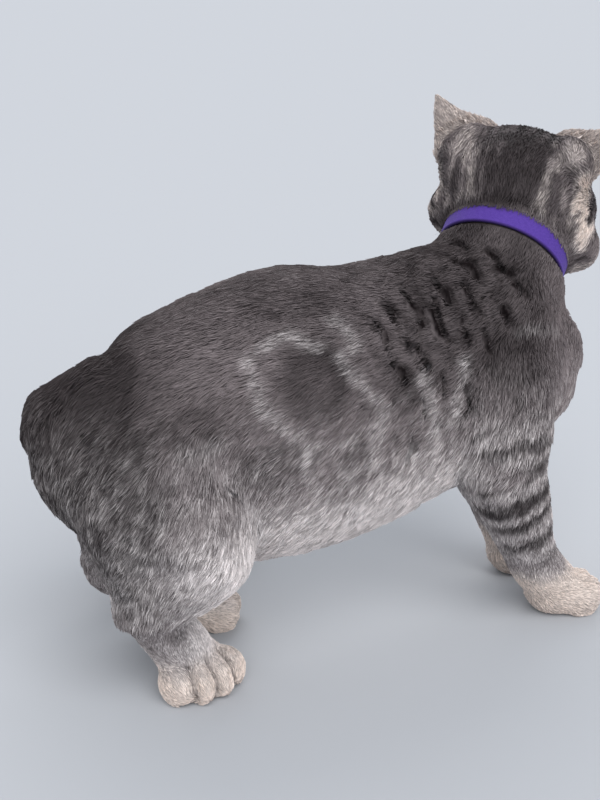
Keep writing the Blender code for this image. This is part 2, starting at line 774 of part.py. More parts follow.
def settle(obj, parent):
    """Puts the object's origin in its middle and parents it."""
    low = [min(v.co[i] for v in obj.data.vertices) for i in range(3)]
    high = [max(v.co[i] for v in obj.data.vertices) for i in range(3)]
    middle = (Vector(low) + Vector(high)) / 2
    obj.data.transform(Matrix.Translation(-middle))
    obj.location = middle
    obj.parent = parent


def shape_whole(collection, forms):
    """The whole body as one skin, from its forms."""
    frame = Matrix.Translation(SHIFT) @ Matrix.Scale(MM, 4)
    loft("trunk", frame, trunk_stations(), forms, around=36)
    loft("neck", frame, NECK, forms)
    loft("tail", frame, [(x, y, z, r, r) for x, y, z, r in TAIL], forms, side=(0.3, 0.5, 1))
    for leg in HIND_LEGS.values():
        add_hind_leg(leg, forms)
        add_paw(leg, forms)
    for leg in FRONT_LEGS.values():
        add_front_leg(leg, forms)
        add_paw(leg, forms)
    add_head(forms)
    whole = melt(forms, "whole", collection)
    for form in list(forms.objects):
        discard(form)
    weigh(whole, "fine", fineness)
    soften(whole, "fine", 60, invert=True)
    soften(whole, "", 4)
    apply_modifiers(whole)
    cinch(whole)
    soften(whole, "", 2)
    weigh(whole, "coarse", coarseness)
    thin = whole.modifiers.new("thin", "DECIMATE")
    thin.ratio = WHOLE_TRIANGLES / (2 * len(whole.data.polygons))
    thin.vertex_group = "coarse"
    thin.vertex_group_factor = 1.0
    thin.use_collapse_triangulate = True
    apply_modifiers(whole)
    whole.vertex_groups.clear()
    on_floor(whole)
    return whole


def part_body(rest, collection):
    """Parts the whole body into its named nodes and returns them."""
    rise, turn = math.radians(COLLAR_RISE), math.radians(COLLAR_TURN)
    along_neck = Vector((math.cos(turn) * math.cos(rise), math.sin(turn) * math.cos(rise), math.sin(rise)))
    nodes = []

    def take(name, region):
        nodes.append(part_off(rest, name, region))

    for name, offset in (("head", NECK_TOP), ("neck", NECK_FOOT)):
        point = Vector(COLLAR_MIDDLE) + along_neck * offset
        take(name, lambda grow: half_space(point, along_neck, collection, grow))
    take("tail_base", lambda grow: tail_region(collection, grow))
    tail = nodes[-1]
    for name, share in (("tail_tip", TAIL_CUTS[1]), ("tail_middle", TAIL_CUTS[0])):
        spot, ahead, _ = tail_spot(share)
        nodes.append(part_off(tail, name, lambda grow: half_space(spot, ahead, collection, grow)))
    below = part_off_feet(rest, collection)
    nodes.extend(below)
    for side, hand in (("left", 1), ("right", -1)):
        take(f"thigh_{side}", lambda grow: column_region(THIGH_REGION, hand, collection, grow))
        leg = FRONT_LEGS[side]
        take(f"forearm_{side}", lambda grow: leg_region(leg["elbow"], leg["wrist"], 28, collection, grow))
        take(f"upper_arm_{side}", lambda grow: guide(
            ellipsoid("arm", Matrix.Translation(SHIFT) @ Matrix.Scale(MM, 4),
                      (UPPER_ARM_MIDDLE[0], hand * UPPER_ARM_MIDDLE[1], UPPER_ARM_MIDDLE[2]),
                      UPPER_ARM_RADII, collection, grow=grow)))
    take("chest", lambda grow: half_space((CHEST_FROM, 0, 0), (1, 0, 0), collection, grow))
    take("rump", lambda grow: half_space((RUMP_FROM, 0, 0), (-1, 0, 0), collection, grow))
    rest.name = "belly"
    nodes.append(rest)
    return {node.name: node for node in nodes}


def part_off_feet(rest, collection):
    """The four feet, as one cut at the same height, told apart by where they stand."""
    lower = copy_of(rest, "lower")
    inside = half_space((0, 0, FEET_TOP), (0, 0, -1), collection)
    cut(lower, inside, "INTERSECT")
    discard(inside)
    outside = half_space((0, 0, FEET_TOP), (0, 0, -1), collection, GAP)
    cut(rest, outside)
    discard(outside)
    keep_bodies(rest, [0])
    feet = []
    for kind, legs in (("hind", HIND_LEGS), ("front", FRONT_LEGS)):
        for side, leg in legs.items():
            foot = copy_of(lower, f"{kind}_foot_{side}")
            bm = bmesh.new()
            bm.from_mesh(foot.data)
            target = place(leg["ball"])
            bodies = bodies_of(bm)
            nearest = min(range(len(bodies)), key=lambda i: min(
                (v.co - target).length for f in bodies[i] for v in f.verts))
            bm.free()
            keep_bodies(foot, [nearest])
            feet.append(foot)
    discard(lower)
    return feet


def main():
    for obj in list(bpy.data.objects):
        bpy.data.objects.remove(obj)
    cat = collection_of("bengal_cat")
    forms = collection_of("forms")
    whole = shape_whole(cat, forms)
    nodes = part_body(whole, cat)
    head, neck = nodes["head"], nodes["neck"]
    band_hollow = ring("band_hollow", [r - GAP / MM for r in COLLAR_RADII], 12,
                       COLLAR_HALF_WIDTH + GAP / MM, cat)
    cut(neck, band_hollow)
    discard(band_hollow)
    keep_bodies(neck, [0])
    nodes["collar_band"] = ring("collar_band", COLLAR_RADII, COLLAR_THICKNESS, COLLAR_HALF_WIDTH, cat)
    carve_mouth(head, cat)
    for side, hand in (("left", 1), ("right", -1)):
        slot = ear("slot", side, cat, GAP)
        cut(head, slot)
        discard(slot)
        nodes[f"ear_{side}"] = ear(f"ear_{side}", side, cat)
        nodes[f"eye_{side}"] = fit_eye(head, hand, side, cat)
    nodes["nose"] = fit_nose(head, cat)
    keep_bodies(head, [0])
    nodes["collar_clasp"] = clasp("collar_clasp", cat)
    stand = bpy.data.objects.new("bengal_cat", None)
    cat.objects.link(stand)
    for name, node in nodes.items():
        colour, roughness = next((f for key, f in FINISHES.items() if name.startswith(key)), COAT)
        finish(node, colour, roughness)
        settle(node, stand)


main()
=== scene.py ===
"""The looks of a grown bengal cat with its collar, life size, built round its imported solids.

One skin follows the flesh solids from inside the coat, and solid tufts of fur grow on it.
Lengths in the tables are millimetres in the model's own frame unless a comment says otherwise.
"""
import math

import bmesh
import bpy
import numpy as np
from mathutils import Matrix, Vector, noise
from mathutils.bvhtree import BVHTree


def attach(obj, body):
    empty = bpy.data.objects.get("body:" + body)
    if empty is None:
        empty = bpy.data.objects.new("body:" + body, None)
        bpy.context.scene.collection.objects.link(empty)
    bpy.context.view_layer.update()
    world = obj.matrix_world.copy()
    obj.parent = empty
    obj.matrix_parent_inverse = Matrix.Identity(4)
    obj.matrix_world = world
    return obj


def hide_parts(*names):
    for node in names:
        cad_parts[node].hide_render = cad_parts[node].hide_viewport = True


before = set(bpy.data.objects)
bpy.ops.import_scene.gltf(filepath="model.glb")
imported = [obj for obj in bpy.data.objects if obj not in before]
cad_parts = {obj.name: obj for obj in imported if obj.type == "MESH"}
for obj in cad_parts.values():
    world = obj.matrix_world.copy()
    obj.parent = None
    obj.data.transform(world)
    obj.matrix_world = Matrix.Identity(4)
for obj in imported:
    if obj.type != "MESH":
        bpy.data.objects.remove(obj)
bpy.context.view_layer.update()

MM = 0.001
SEED = 7

# The body's own places
MIDDLE_Y = -41.4  # the plane that halves the trunk
HEAD_MIDDLE = (132.1, -11.4, 243)
HEAD_TURN = 46
HEAD_PITCH = 8
HEAD_ROLL = 5
EYE_MIDDLE = (26.5, 17.5, 4.5)  # in the head's frame
EYE_RADIUS = 10.5
EYE_TURN = 14
LID_HALF_WIDTH = 9.4
LID_HALF_HEIGHT = 6.8
LID_TILT = 14
NOSE_TIP = (57, 0, -5)
EAR_ROOT = (-11, 27, 25)
EARS = {
    "left": {"hand": 1, "rises": (-0.20, 0.70, 0.64), "opens": (0.86, 0.42, -0.16)},
    "right": {"hand": -1, "rises": (-0.20, 0.76, 0.56), "opens": (0.86, 0.42, -0.20)},
}
EAR_LENGTH = 37
EAR_HOLLOW = 0.44  # how far its inner edge is drawn in near the tip
COLLAR_MIDDLE = (111.1, -30.9, 213)
COLLAR_TURN = 33.5
COLLAR_RISE = 42
COLLAR_HALF_WIDTH = 6.35
COLLAR_RADII = (36.0, 35.4)  # inside, front to back and across
COLLAR_THICKNESS = 2.2
NECK_REACH = 60  # what lies nearer to the collar's middle belongs to the neck
NOSE_MIDDLE = (55.5, 0, -6)
MOUTH_HALF = [
    (33, 25, -18), (34.4, 21, -16.6), (39, 17.2, -17.6), (44, 16.2, -19.5), (48, 13.4, -21),
    (51, 9, -20.8), (52.3, 4.6, -19), (51.9, 0, -17.6),
]
LIP_GROOVE = [(57.2, 0, -9), (55, 0, -11.5), (53, 0, -14.5), (51.8, 0, -17.5)]
TAIL_LINE = [
    (-135, -41, 160), (-153, -33, 158), (-153, -14, 150), (-145, 11, 135), (-134, 35, 108),
    (-119, 50, 78), (-99, 58, 47), (-73, 63, 21), (-43, 67, 9), (-19, 79, 8), (-13, 105, 6),
]
PAWS = {  # the ball of each foot, which way its toes point in degrees from +x, and how far they are spread
    "hind_foot_right": ((-99.9, -58.4, 14), -80, 1.22), "hind_foot_left": ((-76.9, -3.4, 14), 6, 1.0),
    "front_foot_right": ((129.1, -79.4, 14), -4, 1.0), "front_foot_left": ((137.1, -26.4, 14), 8, 1.0),
}
TOE_GAPS = (-9.3, 0, 9.3)  # across the paw, between its four toes
GAP_DEPTH = 2.2
CREASE_DEPTH = 2.0
RIPPLE_DEPTH = 1.0
SOFTENED = [  # places where the skin runs on smoothly from one solid to the next, and how far round them
    (-132, -46, 182, 42), (-150, -20, 172, 24), (-86, -106, 103, 22), (-120, -96, 66, 14),
    (62, -96, 128, 16),
]
SOFTENING_ROUNDS = 140
SWELLINGS = [  # places where the skin stands out more or, below 0, less than the solids: reach, height
    (-140, -46, 178, 26, 13.0), (-127, -50, 188, 22, 6.0), (-82, -106, 102, 22, -6.0),
    (93, 3, 263, 18, 4.0),
]

# The coat of each part: tuft length, tuft width, tufts in a square millimetre, lift in degrees, lock size
COAT = {
    "head": (5.4, 0.40, 3.20, 14, 1.5),
    "ear": (3.0, 0.36, 3.20, 12, 1.2),
    "neck": (6.4, 0.48, 2.40, 15, 2.2),
    "chest": (7.6, 0.48, 2.20, 15, 2.6),
    "belly": (8.6, 0.46, 2.40, 13, 3.0),
    "rump": (8.2, 0.46, 2.40, 13, 3.0),
    "tail": (8.0, 0.54, 1.80, 15, 2.4),
    "upper_arm": (6.8, 0.50, 2.20, 14, 2.2),
    "forearm": (5.2, 0.44, 2.60, 14, 1.8),
    "front_foot": (3.6, 0.40, 3.20, 14, 1.4),
    "thigh": (7.8, 0.46, 2.30, 14, 2.8),
    "hind_foot": (3.8, 0.40, 3.00, 14, 1.5),
}
SWELL = 0.35  # closes the gaps between the solids before they are fused
HEAD_VOXEL = 0.9
BODY_VOXEL = 1.3
NOSE_VOXEL = 0.28
MOST_TUFTS = 44500  # in one piece of the coat, which keeps it under 200,000 triangles
PATCH = 0.003  # a tuft's share of the unwrap, across
TUFT_SIDES = np.array([[0, 1, 2], [3, 2, 1], [0, 3, 1], [0, 2, 3]])  # of root, two edges halfway, tip
TUFT_TONES = [0.46, 0.78, 0.78, 0.98]  # how light a tuft is there
PIECES = {  # each piece of the coat, and the kinds of solid whose skin it grows on
    "coat_head": ["head", "ear"],
    "coat_neck_and_breast": ["neck", "chest"],
    "coat_right_flank": ["belly"],
    "coat_left_flank": ["belly"],
    "coat_rump": ["rump"],
    "coat_thighs": ["thigh"],
    "coat_front_legs": ["upper_arm", "forearm", "front_foot"],
    "coat_tail_and_hind_feet": ["tail", "hind_foot"],
}

# Creases on the right of the trunk, as the photograph shows them, sunk into the skin and painted dark as
# shade: places, half width, strength
TRUNK_LINES = [
    ([(12, -74, 203), (13, -77, 199), (14, -82, 193)], 1.3, 1.0),
    ([(16, -84, 189), (22, -86, 184), (26, -89, 177), (29, -90, 171)], 1.3, 1.0),
    ([(25, -64, 211), (26, -73, 204), (29, -77, 199), (31, -80, 195)], 1.4, 1.0),
    ([(40, -72, 204), (39, -80, 196), (40, -83, 190), (43, -86, 184)], 1.7, 1.0),
    ([(44, -63, 214), (45, -72, 207), (48, -77, 202)], 1.4, 1.0),
    ([(59, -70, 210), (64, -78, 199), (66, -82, 193)], 1.3, 1.0),
    ([(65, -84, 187), (66, -86, 180), (68, -87, 173)], 1.2, 1.0),
    ([(1, -76, 199), (4, -83, 191), (6, -86, 186)], 1.2, 1.0),
    ([(6, -89, 178), (9, -91, 172), (14, -92, 166)], 1.4, 1.0),
    ([(80, -60, 223), (87, -73, 213), (93, -80, 203)], 1.4, 1.0),
    ([(30, -76, 200), (26, -81, 193), (22, -86, 186)], 1.1, 1.0),
    ([(50, -90, 160), (53, -91, 152), (55, -91, 143)], 1.3, 1.0),
    ([(35, -90, 170), (37, -91, 162), (38, -92, 154)], 1.3, 1.0),
    ([(15, -95, 138), (14, -95, 130), (14, -94, 122)], 1.4, 0.8),
    ([(62, -56, 220), (67, -64, 216), (71, -73, 209)], 1.4, 1.0),
    ([(27, -54, 218), (26, -60, 214)], 1.1, 0.9),
    ([(69, -34, 225), (73, -53, 225)], 1.3, 0.9),
    ([(52, -80, 195), (53, -84, 188), (55, -87, 180)], 1.1, 1.0),
    ([(77, -78, 200), (79, -82, 193), (80, -85, 186)], 1.2, 1.0),
    ([(20, -91, 160), (23, -92, 151), (24, -93, 144)], 1.2, 0.9),
]
# Silvery lines that ring the blotches
LIGHT_LINES = [
    ([(-74, -83, 189), (-74, -88, 179), (-72, -93, 166), (-59, -97, 154), (-47, -99, 144)], 2.6, 0.34),
    ([(-47, -99, 144), (-34, -99, 139), (-23, -99, 144), (-8, -97, 148), (-4, -96, 156)], 2.4, 0.34),
    ([(-66, -81, 194), (-51, -80, 199), (-41, -86, 192), (-36, -86, 191)], 2.2, 0.38),
    ([(-26, -89, 186), (-20, -93, 174), (-13, -95, 166), (-4, -96, 156)], 2.2, 0.36),
    ([(-24, -79, 202), (-18, -83, 196), (-17, -87, 189)], 3.0, 0.34),
    ([(22, -91, 169), (24, -93, 158), (28, -94, 146), (30, -93, 134), (32, -90, 117)], 3.4, 0.50),
    ([(48, -89, 173), (50, -90, 164), (44, -92, 153), (42, -92, 140)], 3.0, 0.38),
    ([(-94, -94, 151), (-101, -94, 147), (-115, -95, 146)], 4.0, 0.18),
    ([(-4, -96, 156), (-8, -98, 142), (-9, -97, 128), (2, -91, 108)], 3.4, 0.36),
    ([(-47, -99, 143), (-50, -98, 132), (-41, -97, 118)], 3.2, 0.28),
    ([(85, -88, 184), (96, -87, 183), (111, -85, 179)], 2.0, 0.22),
]
# Brownish blotches, seen from the side: x, z, half lengths, strength
BLOTCHES = [
    (-41, 175, 19, 18, 0.30), (-66, 135, 22, 14, 0.28), (-20, 128, 11, 13, 0.30), (11, 162, 9, 12, 0.24),
    (-43, 210, 24, 8, 0.16), (-107, 157, 15, 12, 0.20), (79, 169, 16, 18, 0.18), (-14, 104, 9, 7, 0.2),
]
LEG_BARS = [  # on the right foreleg: places, half width, strength
    ([(60, -96, 118), (81, -105, 123), (103, -98, 119)], 3.6, 0.8),
    ([(58, -90, 95), (74, -105, 104), (95, -103, 109)], 4.6, 0.9),
    ([(62, -84, 72), (81, -104, 87), (101, -101, 92), (110, -90, 94)], 4.8, 0.95),
    ([(77, -95, 68), (95, -104, 78), (108, -95, 82)], 3.0, 0.9),
    ([(80, -96, 54), (96, -99, 60), (108, -94, 62)], 3.6, 0.8),
    ([(84, -80, 104), (98, -78, 104)], 3.0, 0.6), ([(70, -100, 142), (92, -97, 138)], 3.4, 0.5),
]
BAR_SLANT = 0.48
BRACELET_PITCH = 17.5
RING_PITCH = 27  # of the tail's rings
CHEEK = (-20, -43, -2)  # in the head's frame, as are its half lengths
CHEEK_REACH = (13, 12, 24)
# Dark lines on the head, in the head's frame, left half: places, half width, strength
HEAD_LINES = [
    ([(40, 0, 17), (33, 0, 26), (10, 0, 37), (-14, 0, 38), (-34, 0, 28), (-44, 0, 14),
      (-48, 0, 0)], 3.4, 0.95),
    ([(39, 5, 17), (33, 8, 24), (22, 10, 31), (6, 9, 36), (-16, 10, 36), (-36, 11, 22),
      (-45, 12, 6)], 2.5, 0.85),
    ([(37, 11, 14), (32, 15, 20), (22, 18, 28), (4, 18, 33), (-22, 17, 31), (-36, 16, 20),
      (-43, 15, 2)], 2.3, 0.8),
    ([(24, 28, 5), (16, 34, 2), (4, 40, -3), (-8, 43, -8), (-16, 43, -11)], 2.7, 0.95),
    ([(30, 24, -5), (20, 32, -10), (8, 38, -15), (-6, 41, -20), (-14, 38, -28)], 2.4, 0.85),
    ([(44, 7, -3), (39, 9, 3), (36, 9, 8)], 1.9, 0.7),
    ([(20, 26, 16), (10, 30, 20), (-2, 32, 22)], 2.2, 0.6),
    ([(-22, 36, -14), (-30, 32, -20)], 2.8, 0.62), ([(-22, 41, -5), (-28, 38, -8)], 2.4, 0.6),
    ([(-25, 38, 9), (-30, 35, 3)], 2.3, 0.6), ([(-33, 31, 12), (-37, 28, 4)], 2.4, 0.5),
    ([(4, 30, -32), (-12, 24, -38)], 2.4, 0.6), ([(-38, 26, -10), (-38, 26, -20)], 3.0, 0.5),
]
HEAD_LIGHTS = [  # pale fur: round the eyes, the muzzle, the chin, and behind the ears and the cheek
    ([(34, 20, 14), (24, 24, 15)], 3.0, 0.6), ([(36, 14, -5), (27, 22, -7)], 3.2, 0.65),
    ([(50, 7, -13), (40, 14, -14), (32, 18, -13)], 6.5, 0.9), ([(48, 0, -27), (30, 0, -34)], 10.0, 0.9),
    ([(-41, 21, 12), (-43, 20, 0), (-42, 20, -8)], 2.8, 0.30), ([(-28, 25, 25), (-33, 25, 17)], 2.2, 0.26),
    ([(-14, 42, 10), (-16, 44, 0), (-10, 46, -8)], 8.5, 0.62), ([(-42, 31, -18), (-34, 36, -24)], 4.0, 0.3),
    ([(-20, 31, 30), (-25, 33, 22)], 5.0, 0.3), ([(10, 36, -22), (-8, 36, -32)], 4.0, 0.6),
]
# What stretches the noise: streaks run back and down the flank, ripples down and a little back
STREAK_AXES = np.array([[0.26, 0, 0.97], [0, 1, 0], [0.35, 0, -0.26]])
HEAD_STREAK_AXES = np.array([[0.14, 0, 0], [0, 0.24, 0], [0, 0, 0.05]])
RIPPLE_AXES = np.array([[0.16, 0, 0.01], [0, 0.05, 0], [0.05, 0, 0.045]])
WHISKER_ROWS = [(-10.5, 3), (-13.0, 4), (-15.5, 4)]  # height in the head's frame, whiskers in the row
WHISKER_RADIUS = 0.22
MARKS = ("dark", "pale", "warm")  # what skin and coat share, from 0 to 1
CORNEA = 0.8  # how far it stands out of the eyeball
IRIS_RADIUS = 6.6
PUPIL = (1.3, 4.8)  # half width and half height of the slit
RIB_PITCH = 1.2  # of the band's weave, about twice the real one so that it shows

TRACES = {"creases": TRUNK_LINES, "lights": LIGHT_LINES, "bars": LEG_BARS}

CAMERA_PLACE = (-0.3069, -0.6194, 0.381)  # in metres
CAMERA_YAW = 26
CAMERA_PITCH = 20
CAMERA_LENS = 56.25
SUNS = [("key", (-0.15, -1.0, 0.95), 2.5), ("back", (0.3, 1.0, 0.9), 1.3)]  # where from, how strong
SUN_SPREAD = 60


def linear(colour):
    """The linear colour of an sRGB hex value."""
    parts = [int(colour[i:i + 2], 16) / 255 for i in (1, 3, 5)]
    return [c / 12.92 if c <= 0.04045 else ((c + 0.055) / 1.055) ** 2.4 for c in parts] + [1.0]


def ramp(values, low, high):
    """0 up to low, 1 from high on, and a smooth rise between them."""
    share = np.clip((np.asarray(values, float) - low) / (high - low), 0, 1)
    return share * share * (3 - 2 * share)


def fall(values, low, high):
    """The other way: 1 up to low, 0 from high on."""
    return 1 - ramp(values, low, high)


def sizes(vectors):
    return np.linalg.norm(vectors, axis=1)


def unit(vectors):
    return vectors / np.maximum(np.linalg.norm(vectors, axis=-1, keepdims=True), 1e-9)


def into(matrix, points):
    """Points in metres, seen in the frame of a matrix."""
    inverse = np.array(matrix.inverted())
    return points @ inverse[:3, :3].T + inverse[:3, 3]


def out_of(matrix, places):
    """Places in the frame of a matrix, as points in metres."""
    matrix = np.array(matrix)
    return places @ matrix[:3, :3].T + matrix[:3, 3]


def turned(matrix, *way):
    """A direction in the frame of a matrix, turned to the model's."""
    return unit(np.array([way], float) @ np.array(matrix)[:3, :3].T)[0]


def placed(middle, *turns):
    """A frame in millimetres at a place of the model, turned by degrees about one axis after the other."""
    made = Matrix.Translation(Vector(middle) * MM)
    for degrees, axis in turns:
        made = made @ Matrix.Rotation(math.radians(degrees), 4, axis)
    return made @ Matrix.Scale(MM, 4)


HEAD = placed(HEAD_MIDDLE, (HEAD_TURN, "Z"), (HEAD_PITCH, "Y"), (HEAD_ROLL, "X"))
# x to the throat, y across and z along the neck to the head
COLLAR = placed(COLLAR_MIDDLE, (COLLAR_TURN, "Z"), (90 - COLLAR_RISE, "Y"))


def eye_frame(hand):
    x, y, z = EYE_MIDDLE
    turn = Matrix.Rotation(math.radians(hand * EYE_TURN), 4, "Z")
    return HEAD @ Matrix.Translation((x, hand * y, z)) @ turn


def ear_frame(side):
    hand = EARS[side]["hand"]
    mirror = Vector((1, hand, 1))
    rises = (Vector(EARS[side]["rises"]) * mirror).normalized()
    opens = Vector(EARS[side]["opens"]) * mirror
    opens = (opens - rises * opens.dot(rises)).normalized()
    axes = Matrix((opens, rises.cross(opens), rises)).transposed().to_4x4()
    return HEAD @ Matrix.Translation(Vector(EAR_ROOT) * mirror) @ axes


def by_collar(points):
    """Points in the collar's frame, and which of them are at the neck."""
    local = into(COLLAR, points)
    return local, sizes(local) < NECK_REACH


def folded(local):
    """Places in the head's frame, with its right half laid over the left."""
    return local * [1, 0, 1] + np.abs(local) * [0, 1, 0]


RGBA = {"data_type": "RGBA"}  # a mix of colours, which has its inputs at 0, 6 and 7


def add_node(tree, kind, inputs=None, **settings):
    """A node with its settings; an input that is given a socket, or a node, is linked to it."""
    made = tree.nodes.new("ShaderNode" + kind)
    for key, value in settings.items():
        setattr(made, key, value)
    for key, value in (inputs or {}).items():
        if isinstance(value, bpy.types.Node):
            value = next(output for output in value.outputs if output.enabled)
        if isinstance(value, bpy.types.NodeSocket):
            tree.links.new(value, made.inputs[key])
        else:
            made.inputs[key].default_value = value
    return made


def new_material(name, *values):
    """A material, its empty tree, and the sockets that carry the mesh's own values into it."""
    made = bpy.data.materials.new(name)
    made.use_nodes = True
    tree = made.node_tree
    tree.nodes.clear()
    return made, tree, {key: add_node(tree, "Attribute", attribute_name=key).outputs["Fac"] for key in values}


def finish_material(made, inputs):
    """Ends a material with its surface, from the inputs of the shader."""
    surface = add_node(made.node_tree, "BsdfPrincipled", inputs)
    add_node(made.node_tree, "OutputMaterial", {"Surface": surface})
    return made


def grain(tree, size, detail, low, high):
    """Noise with lumps of a size in millimetres, and two colours mixed by it."""
    place = add_node(tree, "TexCoord").outputs["Object"]
    lumps = add_node(tree, "TexNoise", {"Vector": place, "Scale": 1 / (size * MM), "Detail": detail})
    return lumps, add_node(tree, "Mix", {0: lumps, 6: linear(low), 7: linear(high)}, **RGBA)


def shaded(tree, colour, shade):
    """A colour times a value."""
    grey = add_node(tree, "CombineColor", {"Red": shade, "Green": shade, "Blue": shade})
    return add_node(tree, "Mix", {0: 1.0, 6: colour, 7: grey}, blend_type="MULTIPLY", **RGBA)


def coat_colour(tree, mesh):
    """The colour that skin and coat share, from the marks that both meshes carry."""
    ground = add_node(tree, "Mix", {0: mesh["dark"], 6: linear("#9a8f90"), 7: linear("#150c0e")}, **RGBA)
    light = add_node(tree, "Mix", {0: mesh["warm"], 6: linear("#f6f3f6"), 7: linear("#fdeee4")}, **RGBA)
    return add_node(tree, "Mix", {0: mesh["pale"], 6: ground, 7: light}, **RGBA)


def fur_material():
    """Guard hair: a satin strand, darker at its root and lighter at its tip, each lock a little its own."""
    made, tree, mesh = new_material("guard_hair", *MARKS, "strand", "rise")
    shade = add_node(tree, "Math", {0: mesh["strand"], 1: mesh["rise"]}, operation="MULTIPLY")
    colour = shaded(tree, coat_colour(tree, mesh), shade)
    return finish_material(made, {
        "Base Color": colour, "Roughness": 0.55, "IOR": 1.55, "Specular IOR Level": 0.12,
    })


def skin_material():
    """Skin under the coat: dull with the down hair between the tufts, and bare and pink in the ears."""
    made, tree, mesh = new_material("downy_skin", *MARKS, "bare", "rim")
    down, pink = grain(tree, 2.2, 5.0, "#b07f78", "#d3a79d")
    shade = add_node(tree, "MapRange", {0: down, 1: 0.3, 2: 0.7, 3: 0.35, 4: 0.75})
    downy = shaded(tree, coat_colour(tree, mesh), shade)
    colour = add_node(tree, "Mix", {0: mesh["bare"], 6: downy, 7: pink}, **RGBA)
    rimmed = add_node(tree, "Mix", {0: mesh["rim"], 6: colour, 7: linear("#2a1f1f")}, **RGBA)
    bump = add_node(tree, "Bump", {"Strength": 0.5, "Distance": 0.4 * MM, "Height": down})
    return finish_material(made, {
        "Base Color": rimmed, "Roughness": 0.75, "IOR": 1.45, "Specular IOR Level": 0.1, "Normal": bump,
    })


def add_object(name, data):
    made = bpy.data.objects.new(name, data)
    bpy.context.scene.collection.objects.link(made)
    return made


def mesh_from(bm, name):
    """A mesh with what a bmesh holds, which is freed."""
    mesh = bpy.data.meshes.new(name)
    bm.to_mesh(mesh)
    bm.free()
    return mesh


def pour(part, whole):
    """Adds what a bmesh holds to another, and frees it."""
    mesh = mesh_from(part, "part")
    whole.from_mesh(mesh)
    bpy.data.meshes.remove(mesh)


def read_all(items, name, width, kind=np.float32):
    """One property of all of a mesh's items, a row for each."""
    values = np.empty(len(items) * width, kind)
    items.foreach_get(name, values)
    return values.reshape(-1, width)


def mesh_object(name, points, faces, values=None, corners=None):
    """An object from arrays: points, faces of one size, float values by name, and the unwrap's corners."""
    mesh = bpy.data.meshes.new(name)
    mesh.vertices.add(len(points))
    mesh.vertices.foreach_set("co", np.ascontiguousarray(points, np.float32).ravel())
    mesh.loops.add(faces.size)
    mesh.loops.foreach_set("vertex_index", np.ascontiguousarray(faces, np.int32).ravel())
    mesh.polygons.add(len(faces))
    mesh.polygons.foreach_set("loop_start", np.arange(0, faces.size, faces.shape[1], dtype=np.int32))
    mesh.shade_smooth()
    if corners is not None:
        unwrap = mesh.uv_layers.new(name="OFBake")
        unwrap.uv.foreach_set("vector", np.ascontiguousarray(corners, np.float32).ravel())
    for key, value in (values or {}).items():
        store(mesh, key, value)
    mesh.update(calc_edges=True)
    return add_object(name, mesh)


def store(mesh, name, values):
    """Float values, one for each vertex, that a material can read by name."""
    layer = mesh.attributes.new(name, "FLOAT", "POINT")
    layer.data.foreach_set("value", np.ascontiguousarray(values, np.float32))


def evaluated(made):
    """The object's mesh with its modifiers applied."""
    graph = bpy.context.evaluated_depsgraph_get()
    return bpy.data.meshes.new_from_object(made.evaluated_get(graph))


def fused(names, voxel):
    """One closed mesh from copies of CAD solids, swollen over the gaps between them."""
    joined = bmesh.new()
    for name in names:
        part = bmesh.new()
        part.from_mesh(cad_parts[name].data)
        bmesh.ops.remove_doubles(part, verts=part.verts, dist=0.01 * MM)
        part.normal_update()
        for vertex in part.verts:
            vertex.co += vertex.normal * SWELL * MM
        pour(part, joined)
    made = add_object("fused", mesh_from(joined, "fused"))
    remesh = made.modifiers.new("fuse", "REMESH")
    remesh.mode = "VOXEL"
    remesh.voxel_size = voxel * MM
    result = evaluated(made)
    bpy.data.objects.remove(made)
    return result


def cut_under_collar(mesh, hand):
    """Keeps what lies on one side of the collar's middle plane, and closes the cut."""
    bm = bmesh.new()
    bm.from_mesh(mesh)
    middle = COLLAR.translation
    along = (COLLAR.to_3x3() @ Vector((0, 0, 1))).normalized() * hand
    found = bmesh.ops.bisect_plane(bm, geom=bm.verts[:] + bm.edges[:] + bm.faces[:], dist=1e-6,
                                   plane_co=middle, plane_no=along, clear_inner=True)
    rim = [item for item in found["geom_cut"] if isinstance(item, bmesh.types.BMEdge)]
    bmesh.ops.holes_fill(bm, edges=rim)
    return bm


def whole_skin():
    """The skin before it is drawn in: the head finely, the body less so, meeting under the collar."""
    joined = bmesh.new()
    flesh = [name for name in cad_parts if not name.startswith(("eye", "nose", "collar"))]
    ears = ["ear_left", "ear_right"]
    parts = (
        (["head", "neck"] + ears, HEAD_VOXEL, 1),
        ([name for name in flesh if name not in ears], BODY_VOXEL, -1),
    )
    for names, voxel, hand in parts:
        pour(cut_under_collar(fused(names, voxel), hand), joined)
    refine(joined)
    return add_object("skin", mesh_from(joined, "skin")), flesh


def refine(bm):
    """Halves the skin's edges round the creases behind the shoulder, which are finer than its mesh."""
    bm.verts.ensure_lookup_table()
    places = right_side(np.array([vertex.co[:] for vertex in bm.verts]) / MM)
    near = np.zeros(len(places), bool)
    for line, half, _ in TRUNK_LINES:
        at = close_to(places, line, 6)
        near[at] |= line_distance(places[at], line) < half + 3.5
    edges = [edge for edge in bm.edges if near[edge.verts[0].index] and near[edge.verts[1].index]]
    bmesh.ops.subdivide_edges(bm, edges=edges, cuts=1, use_grid_fill=True)
    bmesh.ops.triangulate(bm, faces=[face for face in bm.faces if len(face.verts) > 4])


